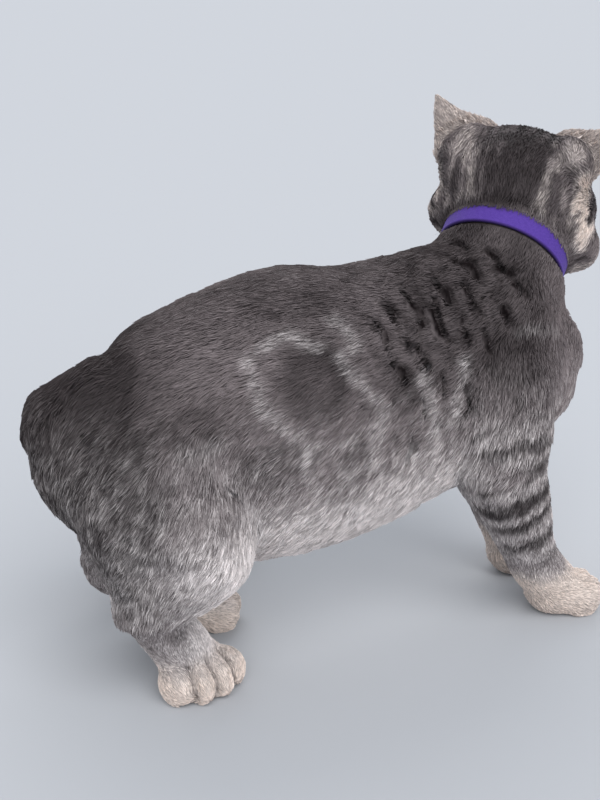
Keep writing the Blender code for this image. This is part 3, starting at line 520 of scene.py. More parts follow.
class Skin:
    """The skin's mesh as arrays, for the work that is done on all its points at once."""

    def __init__(self, made, flesh):
        self.object = made
        self.mesh = made.data
        self.flesh = flesh
        self.points = read_all(self.mesh.vertices, "co", 3).astype(float)
        self.edges = read_all(self.mesh.edges, "vertices", 2, np.int32)
        self.degree = np.maximum(np.bincount(self.edges.ravel(), minlength=len(self.points)), 1)[:, None]
        self.owner = self.nearest_solids()
        self.kind = np.array([kind_of(name) for name in flesh])[self.owner]

    def nearest_solids(self):
        """For each point, the number of the solid that it lies on."""
        spots, faces, owners = [], [], []
        for number, name in enumerate(self.flesh):
            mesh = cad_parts[name].data
            base = len(spots)
            spots += [vertex.co[:] for vertex in mesh.vertices]
            faces += [[base + i for i in polygon.vertices] for polygon in mesh.polygons]
            owners += [number] * len(mesh.polygons)
        tree = BVHTree.FromPolygons(spots, faces)
        return np.array([owners[tree.find_nearest(point)[2]] for point in self.points.tolist()])

    def on(self, name):
        """Which points lie on a solid."""
        return self.owner == self.flesh.index(name)

    def spread(self, values, rounds, share=0.5):
        """Values evened out over the skin, each with its neighbours'."""
        flat = values.reshape(len(values), -1).astype(float)
        a, b = self.edges.T
        for _ in range(rounds):
            total = np.stack([
                np.bincount(a, column[b], len(flat)) + np.bincount(b, column[a], len(flat))
                for column in flat.T
            ], 1)
            flat = flat + share * (total / self.degree - flat)
        return flat.reshape(values.shape)

    def measure(self):
        """Writes the points back and takes the normals anew."""
        self.mesh.vertices.foreach_set("co", self.points.astype(np.float32).ravel())
        self.mesh.update()
        self.normals = read_all(self.mesh.vertex_normals, "vector", 3).astype(float)

    def nearest(self, places):
        """The skin's nearest spots, their directions out and the triangles that they lie on."""
        found = [self.tree.find_nearest(place)[:3] for place in places.tolist()]
        spots, normals, faces = zip(*found)
        return np.array(spots), np.array(normals), self.triangles[list(faces)]

    def triangulate(self):
        """Takes the triangles and their search tree from the mesh as it is now."""
        self.mesh.calc_loop_triangles()
        self.triangles = read_all(self.mesh.loop_triangles, "vertices", 3, np.int32)
        self.tree = BVHTree.FromPolygons(self.points.tolist(), self.triangles.tolist())

    def column(self, index):
        """One column of the coat's table at each point, evened out between the parts."""
        raw = np.array([COAT[kind][index] for kind in self.kind], float)
        return self.spread(raw, 12)


def coat_of(skin):
    """Length, width, density, lift and lock of the coat: short on the face, ruffled at the body's edges."""
    skin.length, skin.width, skin.thickness, skin.lift, skin.lock = (skin.column(i) for i in range(5))
    face = ramp(into(HEAD, skin.points)[:, 0], -4, 46) * (skin.kind == "head")
    skin.length = skin.length * (1 - 0.68 * face)
    skin.width = skin.width * (1 - 0.3 * face)
    skin.thickness = skin.thickness * (1 + 0.9 * face)
    skin.lock = skin.lock * (1 - 0.4 * face)
    patchy = cloud(skin.points / MM, 11, 22)
    collar, at_neck = by_collar(skin.points)
    over_band = fall(np.abs(collar[:, 2] - 9), 2, 6) * at_neck
    x, _, z = (skin.points / MM).T
    edge = np.maximum.reduce([
        ramp(x, 88, 116) * (skin.kind == "chest"), fall(z, 84, 112) * (skin.kind == "belly"),
        0.6 * np.isin(skin.kind, ["thigh", "rump"]) * ramp(-x, 118, 150),
    ])
    skin.lift = skin.lift * (1 + 0.3 * patchy) + 4 * over_band + 6 * edge
    skin.lock = skin.lock * (1 + 0.4 * edge)
    skin.length = skin.length * (1 + 0.15 * over_band)


def kind_of(name):
    """The row of the coat's table for a solid."""
    return next(kind for kind in COAT if name.startswith(kind))


def almond(points, hand):
    """How far points are from an eye's middle: 1 at the edge of the lids' opening, huge behind the eye."""
    local = into(eye_frame(hand), points)
    tilt = math.radians(hand * LID_TILT)
    y = local[:, 1] * math.cos(tilt) + local[:, 2] * math.sin(tilt)
    z = -local[:, 1] * math.sin(tilt) + local[:, 2] * math.cos(tilt)
    reach = np.hypot(y / LID_HALF_WIDTH, z / LID_HALF_HEIGHT)
    return np.where(local[:, 0] > 0, reach, 9.0)


def lid_reach(points):
    """The same for the nearer eye."""
    return np.minimum(almond(points, 1), almond(points, -1))


def along_line(points, line):
    """The distance of each point to a line of places, and how far along it that is, all in millimetres."""
    best, run, passed = np.full(len(points), 1e9), np.zeros(len(points)), 0.0
    places = np.array(line, float)
    for start, end in zip(places, places[1:]):
        along = end - start
        share = np.clip((points - start) @ along / (along @ along), 0, 1)
        gap = sizes(points - start - share[:, None] * along)
        run = np.where(gap < best, passed + share * np.linalg.norm(along), run)
        best = np.minimum(best, gap)
        passed += np.linalg.norm(along)
    return best, run


def line_distance(points, line):
    return along_line(points, line)[0]


def toe_gaps(points, wide):
    """1 in the clefts between the toes, falling to 0 at a distance of wide, for points in metres."""
    best = np.zeros(len(points))
    for ball, heading, spread in PAWS.values():
        x, y, z = into(placed(ball, (heading, "Z")), points).T
        near = ramp(x, 4, 12) * fall(np.hypot(x - 14, y / spread), 25, 31) * fall(z, 5, 11)
        for middle in TOE_GAPS:
            bend = spread * middle * (1 + 0.10 * (x - 14) / 14)
            best = np.maximum(best, near * fall(np.abs(y - bend), 0.3, wide))
    return best


def cloud(points, size, seed=0):
    """Smooth noise from -1 to 1 at points in millimetres, with lumps of about that size."""
    moved = (points / size + seed * 17.3).tolist()
    return np.array([noise.noise(spot) for spot in moved])


def shape_skin(skin):
    """Smooths the fused solids and draws the skin in by the depth of the coat."""
    head_mm = into(HEAD, skin.points)
    face = ramp(head_mm[:, 0], 5, 25) * (skin.kind == "head")
    share = np.where(skin.kind == "ear", 0.25, 0.5) * (1 - 0.6 * face)
    smooth = skin.points.copy()
    for _ in range(7):
        smooth = smooth + share[:, None] * (skin.spread(smooth, 1, 1.0) - smooth)
    skin.points = slim_ears(skin, smooth)
    skin.measure()
    round_them = np.zeros(len(smooth))
    for *place, reach in SOFTENED:
        gap = sizes(smooth / MM - place)
        round_them = np.maximum(round_them, fall(gap, 0.4 * reach, reach))
    for *place, reach, height in SWELLINGS:
        gap = sizes(skin.points / MM - place)
        swell = height * MM * fall(gap, 0.1 * reach, reach)
        skin.points = skin.points + skin.normals * swell[:, None]
    for _ in range(SOFTENING_ROUNDS):
        moved = skin.spread(skin.points, 1, 1.0) - skin.points
        skin.points = skin.points + 0.5 * round_them[:, None] * moved
    skin.measure()
    lay_traces(skin)
    coat_of(skin)
    depth = skin.length * np.sin(np.radians(skin.lift)) * 0.85
    mouth = np.minimum(line_distance(folded(head_mm), MOUTH_HALF), line_distance(head_mm, LIP_GROOVE))
    nose = sizes(head_mm - NOSE_MIDDLE)
    lids = lid_reach(skin.points)
    near_face = np.minimum.reduce([ramp(lids, 1.0, 1.9), ramp(mouth, 1, 6), ramp(nose, 7, 13)])
    depth = np.where(skin.kind == "head", 0.25 + (depth - 0.25) * near_face, depth)
    collar, at_neck = by_collar(skin.points)
    near_band = fall(np.abs(collar[:, 2]), COLLAR_HALF_WIDTH, COLLAR_HALF_WIDTH + 5) * at_neck
    depth = depth * (1 - near_band) + 0.6 * near_band
    sole = ramp(-skin.normals[:, 2], 0.5, 0.9) * fall(skin.points[:, 2] / MM, 2, 5)
    depth = skin.spread(depth * (1 - sole), 2) + GAP_DEPTH * toe_gaps(skin.points, 3.0) * (1 - sole)
    body = ~np.isin(skin.kind, ["head", "ear"])
    places = skin.points / MM
    depth = depth + body * (CREASE_DEPTH * creases(places) + RIPPLE_DEPTH * ripples(places))
    skin.points = skin.points - skin.normals * ((depth + SWELL) * MM)[:, None]
    skin.points[:, 2] = np.maximum(skin.points[:, 2], 0.1 * MM)
    skin.measure()
    lay_traces(skin)


def slim_ears(skin, points):
    """The points with the inner edge of each ear hollowed towards its tip."""
    moved = points.copy()
    for side, ear in EARS.items():
        matrix = ear_frame(side)
        local = into(matrix, points)
        inner = np.clip(-ear["hand"] * local[:, 1], 0, None)
        near = sizes(local) < 1.4 * EAR_LENGTH
        local[:, 1] += ear["hand"] * inner * (EAR_HOLLOW * ramp(local[:, 2] / EAR_LENGTH, 0.0, 0.7) * near)
        mine = skin.on(f"ear_{side}")
        moved[mine] = out_of(matrix, local)[mine]
    return moved


def ear_places(skin):
    """How far points are on the inside of an ear, from 0 to 1, and how high up it, from 0 to 1."""
    inside, height = np.zeros(len(skin.points)), np.zeros(len(skin.points))
    for side in EARS:
        ear = ear_frame(side)
        local = into(ear, skin.points)
        facing = unit(skin.normals @ np.array(ear.inverted())[:3, :3].T)[:, 0]
        mine = skin.on(f"ear_{side}") | (sizes(local) < 16)
        inside = np.where(mine, ramp(facing, -0.1, 0.35) * ramp(local[:, 2], -2, 7), inside)
        height = np.where(mine, np.clip(local[:, 2] / EAR_LENGTH, 0, 1), height)
    return inside, height


def head_lie(skin):
    """Hair on the head runs from the nose back over it, and down to the collar behind."""
    source = np.array(HEAD @ Vector(NOSE_TIP))
    away = unit(skin.points - source)
    low = fall(into(COLLAR, skin.points)[:, 2], 12, 45)[:, None]
    return unit(away * (1 - low) - turned(COLLAR, 0, 0, 1) * low * 1.2)


def trunk_lie(skin):
    """Hair on the trunk lies back along the top, and down and back on the flank, the breast and the seat."""
    x, _, z = (skin.points / MM).T
    down = np.clip((205 - z) / 115, 0, 1)
    lie = np.stack([-1 + 0.5 * down, 0 * x, -0.12 - 0.75 * down], 1)
    breast = ramp(x, 55, 130)[:, None]
    seat = ramp(-x, 135, 172)[:, None]
    lie = lie * (1 - breast) + np.array([-0.3, 0, -1.0]) * breast
    return unit(lie * (1 - seat) + np.array([-0.25, 0, -1.0]) * seat)


def lie_of(skin):
    """The way the hair lies at each point of the skin."""
    lie = np.where((skin.kind == "head")[:, None], head_lie(skin), trunk_lie(skin))
    downwards = {"upper_arm": (-0.25, 0, -1), "forearm": (-0.12, 0, -1), "thigh": (-0.45, 0, -0.9)}
    for kind, direction in downwards.items():
        lie[skin.kind == kind] = unit(np.array(direction, float))
    for name, (_, heading, _) in PAWS.items():
        turn = math.radians(heading)
        toes = np.array([math.cos(turn), math.sin(turn), -0.35])
        low = fall(skin.points[:, 2] / MM, 18, 42)[:, None]
        own = np.array([0.1, 0, -1.0]) * (1 - low) + toes * low
        mine = skin.on(name)
        lie[mine] = unit(own)[mine]
    places = np.array(TAIL_LINE, float)
    middles, runs = (places[1:] + places[:-1]) / 2, unit(places[1:] - places[:-1])
    gaps = np.linalg.norm(skin.points[:, None] / MM - middles[None], axis=2)
    weights = 1 / np.maximum(gaps, 1) ** 4
    lie = np.where((skin.kind == "tail")[:, None], unit(weights @ runs), lie)
    lie[skin.kind == "neck"] = -turned(COLLAR, 0, 0, 1)
    for side in EARS:
        lie[skin.on(f"ear_{side}")] = turned(ear_frame(side), 0, 0, 1)
    for _ in range(4):
        lie = skin.spread(lie, 8)
        lie = lie - skin.normals * np.sum(lie * skin.normals, 1, keepdims=True)
        lie = unit(lie)
    places = skin.points / MM
    swing = 0.26 * cloud(places, 24, 20) + 0.20 * cloud(places, 9, 21)
    swing = (swing * np.where(skin.kind == "ear", 0.4, 1.0))[:, None]
    return unit(lie * np.cos(swing) + np.cross(skin.normals, lie) * np.sin(swing))


def lay_traces(skin):
    """Moves the traced lines onto the skin, in steps small enough to follow it."""
    skin.triangulate()
    for key in TRACES:
        TRACES[key] = [(laid(skin.tree, line[0]), *line[1:]) for line in TRACES[key]]
    for key, lines in (("head_lines", HEAD_LINES), ("head_lights", HEAD_LIGHTS)):
        TRACES[key] = []
        for hand in (1, -1):
            for places, half, strength in lines:
                sided = [HEAD @ Vector((x, hand * y, z)) / MM for x, y, z in places]
                TRACES[key].append((laid(skin.tree, sided), half, strength))


def laid(tree, places):
    """A line's places with more between them, each on the nearest spot of the skin, in millimetres."""
    spots = [np.array(places[0], float)]
    for start, end in zip(places, places[1:]):
        start, end = np.array(start, float), np.array(end, float)
        steps = max(1, round(np.linalg.norm(end - start) / 6))
        spots += [start + (end - start) * (k + 1) / steps for k in range(steps)]
    return [tuple(tree.find_nearest(Vector(spot) * MM)[0] / MM) for spot in spots]


def strokes(points, lines, wobble):
    """The strongest of the lines at each point."""
    best = np.zeros(len(points))
    wobble = np.broadcast_to(wobble, len(points))
    for places, half, strength in lines:
        near = close_to(points, places, 3 * half)
        gap = line_distance(points[near], places) + wobble[near] * half
        best[near] = np.maximum(best[near], strength * fall(gap, 0.45 * half, 1.6 * half))
    return best


def close_to(points, places, reach):
    """The numbers of the points inside the box round some places, widened by a reach."""
    low, high = np.min(places, 0) - reach, np.max(places, 0) + reach
    return np.flatnonzero(((points > low) & (points < high)).all(1))


def right_side(points, shift=(-12, 0, 0)):
    """The points as they would lie on the right of the trunk; the left has the same marks, moved a little."""
    seen = points.copy()
    seen[:, 1] = MIDDLE_Y - np.abs(points[:, 1] - MIDDLE_Y)
    seen[points[:, 1] > MIDDLE_Y] += shift
    return seen


def creases(points):
    """1 in the narrow dark creases of the coat behind the shoulder, for points in millimetres."""
    best = np.zeros(len(points))
    seen = right_side(points)
    at = close_to(seen, [(-25, -130, 100), (115, 0, 232)], 0)
    points, seen = points[at], seen[at]
    bend = 1.8 * cloud(points, 8, 44) + 0.4 * cloud(points, 3, 45)
    seen = seen + bend[:, None] * [1.0, 0, 0.3]
    rough = 0.6 * cloud(points, 6) + 0.5 * cloud(points, 2.5, 30)
    line = np.zeros(len(points))
    for places, half, strength in TRACES["creases"]:
        near = close_to(seen, places, 3 * half)
        ends = np.minimum(*(sizes(seen[near] - places[k]) for k in (0, -1)))
        size = half * (0.45 + 0.62 * ramp(ends, 0, 9)) * (1 + 0.30 * rough[near])
        gap = line_distance(seen[near], places)
        line[near] = np.maximum(line[near], strength * fall(gap, 0.8 * size, 1.3 * size))
    best[at] = line
    return best


def ripples(points):
    """1 in the faint uneven ripples between the creases, for points in millimetres."""
    x, _, z = right_side(points).T
    place = ramp(x, -18, 4) * fall(x, 84, 108) * ramp(z, 125, 150) * fall(z, 216, 226)
    fold = np.abs(cloud(points @ RIPPLE_AXES, 1.0, 40)) + 0.10 * cloud(points, 3, 42)
    broken = ramp(cloud(points, 12, 41), -0.15, 0.15)
    return fall(fold, 0.04, 0.24) * broken * place


def paint_trunk(points, marks):
    """Lines, blotches and the darker back on the trunk, with painted shade in its creases and ripples; its
    left side has the same marks, moved a little.
    """
    seen = right_side(points)
    x, _, z = seen.T
    rough = 0.55 * cloud(points, 6) + 0.35 * cloud(points, 2.5, 30)
    dark = 0.26 + 0.22 * ramp(z, 112, 200) + 0.16 * ramp(x, 5, 50) * ramp(z, 110, 175)
    dark = dark - 0.30 * ramp(x, 96, 118) + 0.10 * cloud(points, 15, 31) + 0.10 * cloud(points, 5, 32)
    dark = dark - 0.16 * ramp(-np.hypot((x + 82) / 30, (z - 186) / 13), -1.3, -0.4)
    for at_x, at_z, half_x, half_z, strength in BLOTCHES:
        reach = np.hypot((x - at_x) / half_x, (z - at_z) / half_z) + 0.22 * cloud(points, 9, 1)
        dark = dark + strength * fall(reach, 0.75, 1.2) * (0.8 + 0.3 * ramp(reach, 0.3, 0.9))
    spine = np.abs(points[:, 1] - MIDDLE_Y) + 3 * cloud(points, 10, 2)
    dark = dark + (0.10 - 0.10 * ramp(spine, 5, 13)) * ramp(z, 165, 205)
    seat = ramp(-x + 7 * cloud(points, 12, 3) - 0.10 * (z - 140), 112, 146) * ramp(z, 40, 74)
    dark = dark + 0.74 * seat + 0.20 * ramp(-x, 92, 140) * ramp(z, 138, 180)
    nape = ramp(x, 58, 78) * ramp(z, 196, 214)
    dark = dark + 0.06 * nape
    pale = 0.85 * strokes(seen, TRACES["lights"], 1.3 * rough) * (0.8 + 0.6 * cloud(points, 4, 33))
    # painted shade in the creases: the pale fur is taken out of them below
    line = creases(points)
    fold = ripples(points)
    # painted shade in the ripples of the coat: darker there, and less pale
    dark = dark + 0.42 * fold
    pale = pale * (1 - line) * (1 - 0.6 * fold)
    height = z + 8 * cloud(points, 14, 4) - 0.08 * np.clip(x, -100, 20)
    belly = fall(height, 88, 132) * ramp(x, -125, -85) * fall(x, 50, 72)
    pale = np.maximum(pale, 0.70 * belly)
    low = ramp(-z, -175, -105)
    streak = cloud(points @ STREAK_AXES, 2.4, 5)
    pale = pale + 0.24 * ramp(streak, 0.0, 0.4) * low
    marks["dark"] = dark * (1 - 0.5 * belly)
    marks["pale"] = pale + 0.10 * low


def paint_limbs(skin, points, marks):
    """Bracelets on the front legs, uneven darker fur on the thighs with a spot at each hock, and rings on the
    tail, over pale feet.
    """
    x, y, z = points.T
    kind = skin.kind
    out = np.abs(y - MIDDLE_Y)
    rough = cloud(points, 7, 6) + 0.6 * cloud(points, 3, 36)
    bars = strokes(right_side(points, (8, 0, 3)), TRACES["bars"], rough)
    height = z - BAR_SLANT * (x - 85) + 3.0 * cloud(points, 12, 6)
    bars = np.maximum(bars, 0.55 * ramp(np.cos(2 * math.pi * height / BRACELET_PITCH), 0.1, 0.8))
    front = np.isin(kind, ["forearm", "upper_arm", "front_foot"])
    leg = ramp(-z, -145, -122) * ramp(z, 38, 50) * front
    outside = ramp(out, 30, 50)
    speckle = cloud(points, 3, 37)
    dark = marks["dark"] * (1 - leg) + leg * (0.18 + 0.78 * bars * (0.5 + 0.5 * outside) + 0.12 * speckle)
    pale = marks["pale"] * (1 - leg) + leg * ((0.44 + 0.2 * speckle) * (1 - bars) + 0.2 * (1 - outside))
    thigh = kind == "thigh"
    hind = thigh | (kind == "hind_foot")
    dark = np.where(thigh, dark + 0.08 + 0.12 * cloud(points, 13, 7), dark)
    inner = hind * fall(out, 18, 38)
    front_edge = hind * ramp(x + 0.25 * z, -112, -78) * fall(z, 92, 125)
    pale = np.maximum(pale, 0.60 * np.maximum(inner, front_edge))
    lower = hind * fall(z, 78, 112)
    pale = pale + 0.16 * lower
    rear = hind * ramp(-(x + 0.35 * z), 98, 120)
    dark = dark * (1 - 0.4 * lower) + 0.12 * rear * ramp(z, 12, 30)
    pale = pale * (1 - 0.4 * rear)
    low = np.where(hind, 11, 26)
    foot = np.isin(kind, ["hind_foot", "front_foot"]) * fall(z + 4 * cloud(points, 9, 8), low, low + 17)
    dark = dark * (1 - 0.92 * foot)
    pale = pale * (1 - foot) + (0.95 + 0.1 * cloud(points, 8, 9)) * foot
    spots = [([(-120, -88, 45), (-113, -84, 42)], 6.0, 0.75), ([(-120, 14, 48), (-118, 18, 46)], 5, 0.5)]
    spot = strokes(points, spots, 0.4 * cloud(points, 5, 10))
    dark = np.maximum(dark, spot)
    pale = pale * (1 - 0.9 * spot)
    tail = kind == "tail"
    _, run = along_line(points, TAIL_LINE)
    begun = ramp(run, 30, 80)
    rings = ramp(np.cos(2 * math.pi * (run + 3 * cloud(points, 14, 11)) / RING_PITCH), 0.0, 0.5)
    end = ramp(run, 262, 285)
    own = np.maximum(0.36 + 0.46 * rings + 0.1 * cloud(points, 4, 39), 0.95 * end)
    dark = np.where(tail, np.minimum(dark, 0.84) * (1 - begun) + own * begun, dark)
    pale = np.where(tail, (0.16 * (1 - rings) * (1 - end)) * begun + pale * (1 - begun), pale)
    marks["dark"], marks["pale"] = dark, pale
    marks["warm"] = np.clip(0.35 + 0.65 * foot, 0, 1)


def whisker_root(row, k):
    """Where a row's whisker stands on the left of the muzzle, in the head's frame."""
    return 48 - 4.5 * k, 9.5 + 2.4 * k, row - 0.5 * k


def paint_head(skin, marks):
    """Stripes from the brow over the crown and down the nape, cheek lines, and pale fur on the face."""
    local = into(HEAD, skin.points)
    half = folded(local)
    rough = 0.5 * cloud(local, 5, 12) + 0.3 * cloud(local, 2.2, 34)
    behind = ramp(-local[:, 0], 5, 34)
    places = skin.points / MM
    line = strokes(places, TRACES["head_lines"], rough)
    aside = np.abs(local[:, 1] + 4)
    base = 0.24 + 0.38 * behind * fall(aside, 2, 28) + 0.28 * behind + 0.16 * cloud(local, 8, 13)
    streak = cloud(local @ HEAD_STREAK_AXES, 1.0, 38) * behind
    fine = cloud(local @ HEAD_STREAK_AXES, 0.45, 43) * behind
    base = base + 0.30 * streak + 0.26 * fine
    dark = np.maximum(base, line * (0.95 - 0.12 * behind + 0.2 * fine))
    pale = 1.05 * strokes(places, TRACES["head_lights"], 1.1 * rough) * (0.85 + 0.4 * cloud(local, 4, 35))
    cream = fall(sizes((local - CHEEK) / CHEEK_REACH) + 0.4 * rough, 0.7, 1.1)
    pale = np.maximum(pale, cream) + 0.20 * ramp(-streak, 0.05, 0.5) * ramp(np.abs(local[:, 1]), 8, 20)
    pale = pale * fall(line, 0.3, 0.7)
    bridge = ramp(local[:, 0], 36, 46) * fall(np.abs(local[:, 1]), 4, 8) * ramp(local[:, 2], -6, 0)
    dark = dark * (1 - 0.6 * pale) * (1 - 0.5 * bridge)
    for row, count in WHISKER_ROWS:
        for k in range(count):
            dark = np.maximum(dark, 0.5 * fall(sizes(half - whisker_root(row, k)), 0.5, 1.3))
    throat = fall(local[:, 2], -34, -24) * ramp(local[:, 0], -14, 6)
    pale = np.maximum(pale, 0.55 * throat)
    inside, height = ear_places(skin)
    ear = skin.kind == "ear"
    rim_of_ear = ramp(height, 0.55, 0.95)
    head = skin.kind == "head"
    upper = ramp(height + 0.1 * rough, 0.35, 0.72)
    on_ear = 0.12 * (1 - upper) * (1 - inside) + 0.10 * (rim_of_ear * (1 - inside))
    own = [(dark, on_ear), (pale, 0.46 + 0.04 * upper + 0.3 * inside), (np.maximum(0.8, pale), 1.0)]
    for key, values in zip(MARKS, own):
        marks[key] = np.where(head, values[0], np.where(ear, values[1], marks[key]))
    lids = lid_reach(skin.points)
    marks["bare"] = np.clip(0.8 * inside * ramp(height, 0.0, 0.12) * (1 - 0.5 * rim_of_ear), 0, 1)
    marks["rim"] = head * np.maximum.reduce([
        fall(lids, 1.0, 1.16), fall(line_distance(half, MOUTH_HALF), 0.5, 1.2),
        fall(line_distance(half, LIP_GROOVE), 0.4, 1.0),
    ])


def paint(skin):
    """Every mark of the coat at each point of the skin: dark, pale, warm, bare and rim, from 0 to 1, with
    painted shade in the toe clefts and the creases.
    """
    points = skin.points / MM
    marks = {}
    paint_trunk(points, marks)
    paint_limbs(skin, points, marks)
    paint_head(skin, marks)
    # painted shade in the clefts between the toes: darker there, and less pale
    toe_cleft_shade = toe_gaps(skin.points, 2.0)
    marks["dark"] = np.where(skin.kind == "tail", marks["dark"], np.minimum(marks["dark"], 0.84))
    # painted shade in the creases: the darkest colour of the coat
    marks["dark"] = np.maximum(marks["dark"] + 0.75 * toe_cleft_shade, 1.3 * creases(points))
    marks["pale"] = marks["pale"] * (1 - 0.8 * toe_cleft_shade)
    for key in MARKS:
        rounds = 2 if key != "warm" else 6
        marks[key] = np.clip(skin.spread(marks[key], rounds), 0, 1)
    return marks


def density_of(skin, marks):
    """Tufts in a square millimetre: none on lids, lips, soles and under the band, few in the ears."""
    density = skin.thickness * (1 - 0.45 * marks["bare"])
    lids = lid_reach(skin.points)
    local = into(HEAD, skin.points)
    half = folded(local)
    nose = sizes(local - NOSE_MIDDLE)
    density = density * (lids > 1.1) * (nose > 6.6) * (line_distance(half, MOUTH_HALF) > 0.9)
    for hand in (1, -1):
        from_eye = sizes(into(eye_frame(hand), skin.points))
        density = density * (from_eye > EYE_RADIUS + 0.75)
    density = density * (1 - 0.75 * toe_gaps(skin.points, 1.6))
    density = density * fall(creases(skin.points / MM), 0.3, 0.6)
    collar, at_neck = by_collar(skin.points)
    banded = (np.abs(collar[:, 2]) < COLLAR_HALF_WIDTH - 0.6) & at_neck
    sole = (skin.normals[:, 2] < -0.8) & (skin.points[:, 2] < 1.5 * MM)
    return density * ~banded * ~sole


def unwrap_of(skin, name, chosen):
    """The unwrap of some of the skin's triangles, laid out over the whole square, as corners (n, 3, 2)."""
    used, index = np.unique(skin.triangles[chosen].ravel(), return_inverse=True)
    faces = index.reshape(-1, 3)
    scrap = mesh_object(name + "_unwrap", skin.points[used], faces)
    layer = scrap.data.uv_layers.new(name="layout")
    scrap.data.uv_layers.active = layer
    bpy.context.view_layer.objects.active = scrap
    bpy.ops.object.select_all(action="DESELECT")
    scrap.select_set(True)
    bpy.ops.object.mode_set(mode="EDIT")
    bpy.ops.mesh.select_all(action="SELECT")
    bpy.ops.uv.smart_project(angle_limit=math.radians(66), island_margin=0.004)
    bpy.ops.object.mode_set(mode="OBJECT")
    corners = read_all(scrap.data.uv_layers["layout"].uv, "vector", 2)
    bpy.data.objects.remove(scrap)
    return corners.reshape(-1, 3, 2).astype(float)


def grow_piece(skin, name, chosen, chances, rng):
    """Solid tufts on the chosen triangles of the skin, as one mesh."""
    triangles = skin.triangles[chosen]
    total = chances.sum()
    count = min(int(total), MOST_TUFTS)
    steps = (np.arange(count) + rng.random(count)) * total / count
    face = np.minimum(np.searchsorted(np.cumsum(chances), steps), len(triangles) - 1)
    first, second = rng.random(count), rng.random(count)
    beyond = first + second > 1
    first[beyond], second[beyond] = 1 - first[beyond], 1 - second[beyond]
    weights = np.stack([1 - first - second, first, second], 1)[:, :, None]
    corner = triangles[face]

    def at_root(values):
        values = values if values.ndim > 1 else values[:, None]
        return (values[corner] * weights).sum(1)

    root = at_root(skin.points)
    normal = unit(at_root(skin.normals))
    lie = at_root(skin.lie)
    lie = unit(lie - normal * np.sum(lie * normal, 1, keepdims=True))
    across = np.cross(normal, lie)
    own = rng.random((count, 6))
    yaw = np.radians(20) * (own[:, 0] - 0.5)[:, None]
    lie = lie * np.cos(yaw) + across * np.sin(yaw)
    across = np.cross(normal, lie)
    length = at_root(skin.length)[:, 0] * (0.72 + 0.5 * own[:, 1]) * MM
    width = at_root(skin.width)[:, 0] * (0.75 + 0.5 * own[:, 2]) * MM
    lift = np.radians(at_root(skin.lift)[:, 0] * (0.6 + 0.8 * own[:, 3]))
    lock = at_root(skin.lock) * MM
    height = length * np.sin(lift)
    middle, middle_normal, middle_corner = skin.nearest(root + lie * (length * 0.5)[:, None])
    tip, tip_normal, tip_corner = skin.nearest(root + lie * length[:, None])
    keep = np.minimum(kept_off_band(root, tip, own[:, 4]), kept_off_creases(root, middle, tip))[:, None]
    middle = middle + (middle_normal * 0.4 + normal * 0.6) * (height * 0.85)[:, None]
    tip = tip + tip_normal * height[:, None]
    middle, tip = root + (middle - root) * keep, root + (tip - root) * keep
    root = root - normal * 0.3 * MM
    cell = np.floor((root + lie * 0.2 * MM) / lock + 0.35 * np.sin(root / (3.1 * lock))).astype(int)
    _, group = np.unique(cell, axis=0, return_inverse=True)
    group = group.ravel()
    members = np.bincount(group)
    reach, centre = (
        np.stack([np.bincount(group, column) for column in spots.T], 1) / members[:, None]
        for spots in (tip - root, root)
    )
    goal = (centre + reach)[group]
    pull = (0.5 * own[:, 4] + 0.15)[:, None]
    tip = tip + pull * (goal - tip)
    middle = middle + 0.35 * pull * (goal - tip)
    tip, middle = clear_of_band(tip, 0.5), clear_of_band(middle, 0.4)
    tip[:, 2], middle[:, 2] = np.maximum(tip[:, 2], 0.2 * MM), np.maximum(middle[:, 2], 0.3 * MM)
    aside = across * (0.40 * width)[:, None]
    points = np.stack([root, middle - aside, middle + aside, tip], 1)
    points[:, :, 2] = np.maximum(points[:, :, 2], 0.1 * MM)
    points = points.reshape(-1, 3)
    faces = (4 * np.arange(count)[:, None, None] + TUFT_SIDES).reshape(-1, 3)
    spot = (skin.unwrap[face] * weights).sum(1)
    corners = (spot[:, None, None] + tuft_patch()[None]).reshape(-1, 2)
    shade = rng.random(len(members))[group] * 0.5 + own[:, 5] * 0.5
    values = {}
    for key in MARKS:
        mark = skin.marks[key]
        values[key] = np.stack([mark[middle_corner].mean(1)] * 3 + [mark[tip_corner].mean(1)], 1)
    uneven = values["pale"] * (1 - values["pale"]) * (shade - 0.5)[:, None]
    silver = 0.36 * (own[:, 5] > 0.72) * values["pale"].mean(1) ** 0.5
    values["pale"] = values["pale"] + 2.0 * uneven + silver[:, None] * [0, 0.6, 0.6, 1]
    values["pale"] = np.clip(values["pale"], 0, 1)
    values = {key: value.ravel() for key, value in values.items()}
    values["strand"] = np.repeat(0.72 + 0.52 * shade, 4)
    values["rise"] = np.tile(TUFT_TONES, count)
    made = mesh_object(name, points, faces, values, corners)
    made.data.normals_split_custom_set(tuft_shading(root, tip, normal, across))
    made.data.materials.append(skin.fur)
    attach(made, "root")
    return made


def tuft_shading(root, tip, normal, across):
    """Shading normals at the corners of each tuft: round over its back like hair, plain on its underside."""
    along = unit(tip - root)
    up = unit(normal - along * np.sum(normal * along, 1, keepdims=True))
    over = np.stack([up, 0.75 * up - 0.66 * across, 0.75 * up + 0.66 * across, up + 0.3 * along], 1)
    left, right = -0.25 * up - across, -0.25 * up + across
    corners = [over[:, k] for side in TUFT_SIDES[:2] for k in side] + [left] * 3 + [right] * 3
    return unit(np.stack(corners, 1).reshape(-1, 3))


def tuft_patch():
    """The four sides of a tuft laid out beside each other in a small square, as offsets (4, 3, 2)."""
    sides = [
        [(-2, 1), (0, 0), (0, 2)], [(2, 1), (0, 2), (0, 0)],
        [(-2, -1), (2, -1), (0, -2)], [(-2, -1), (0, 0), (2, -1)],
    ]
    return np.array(sides) * PATCH / 4


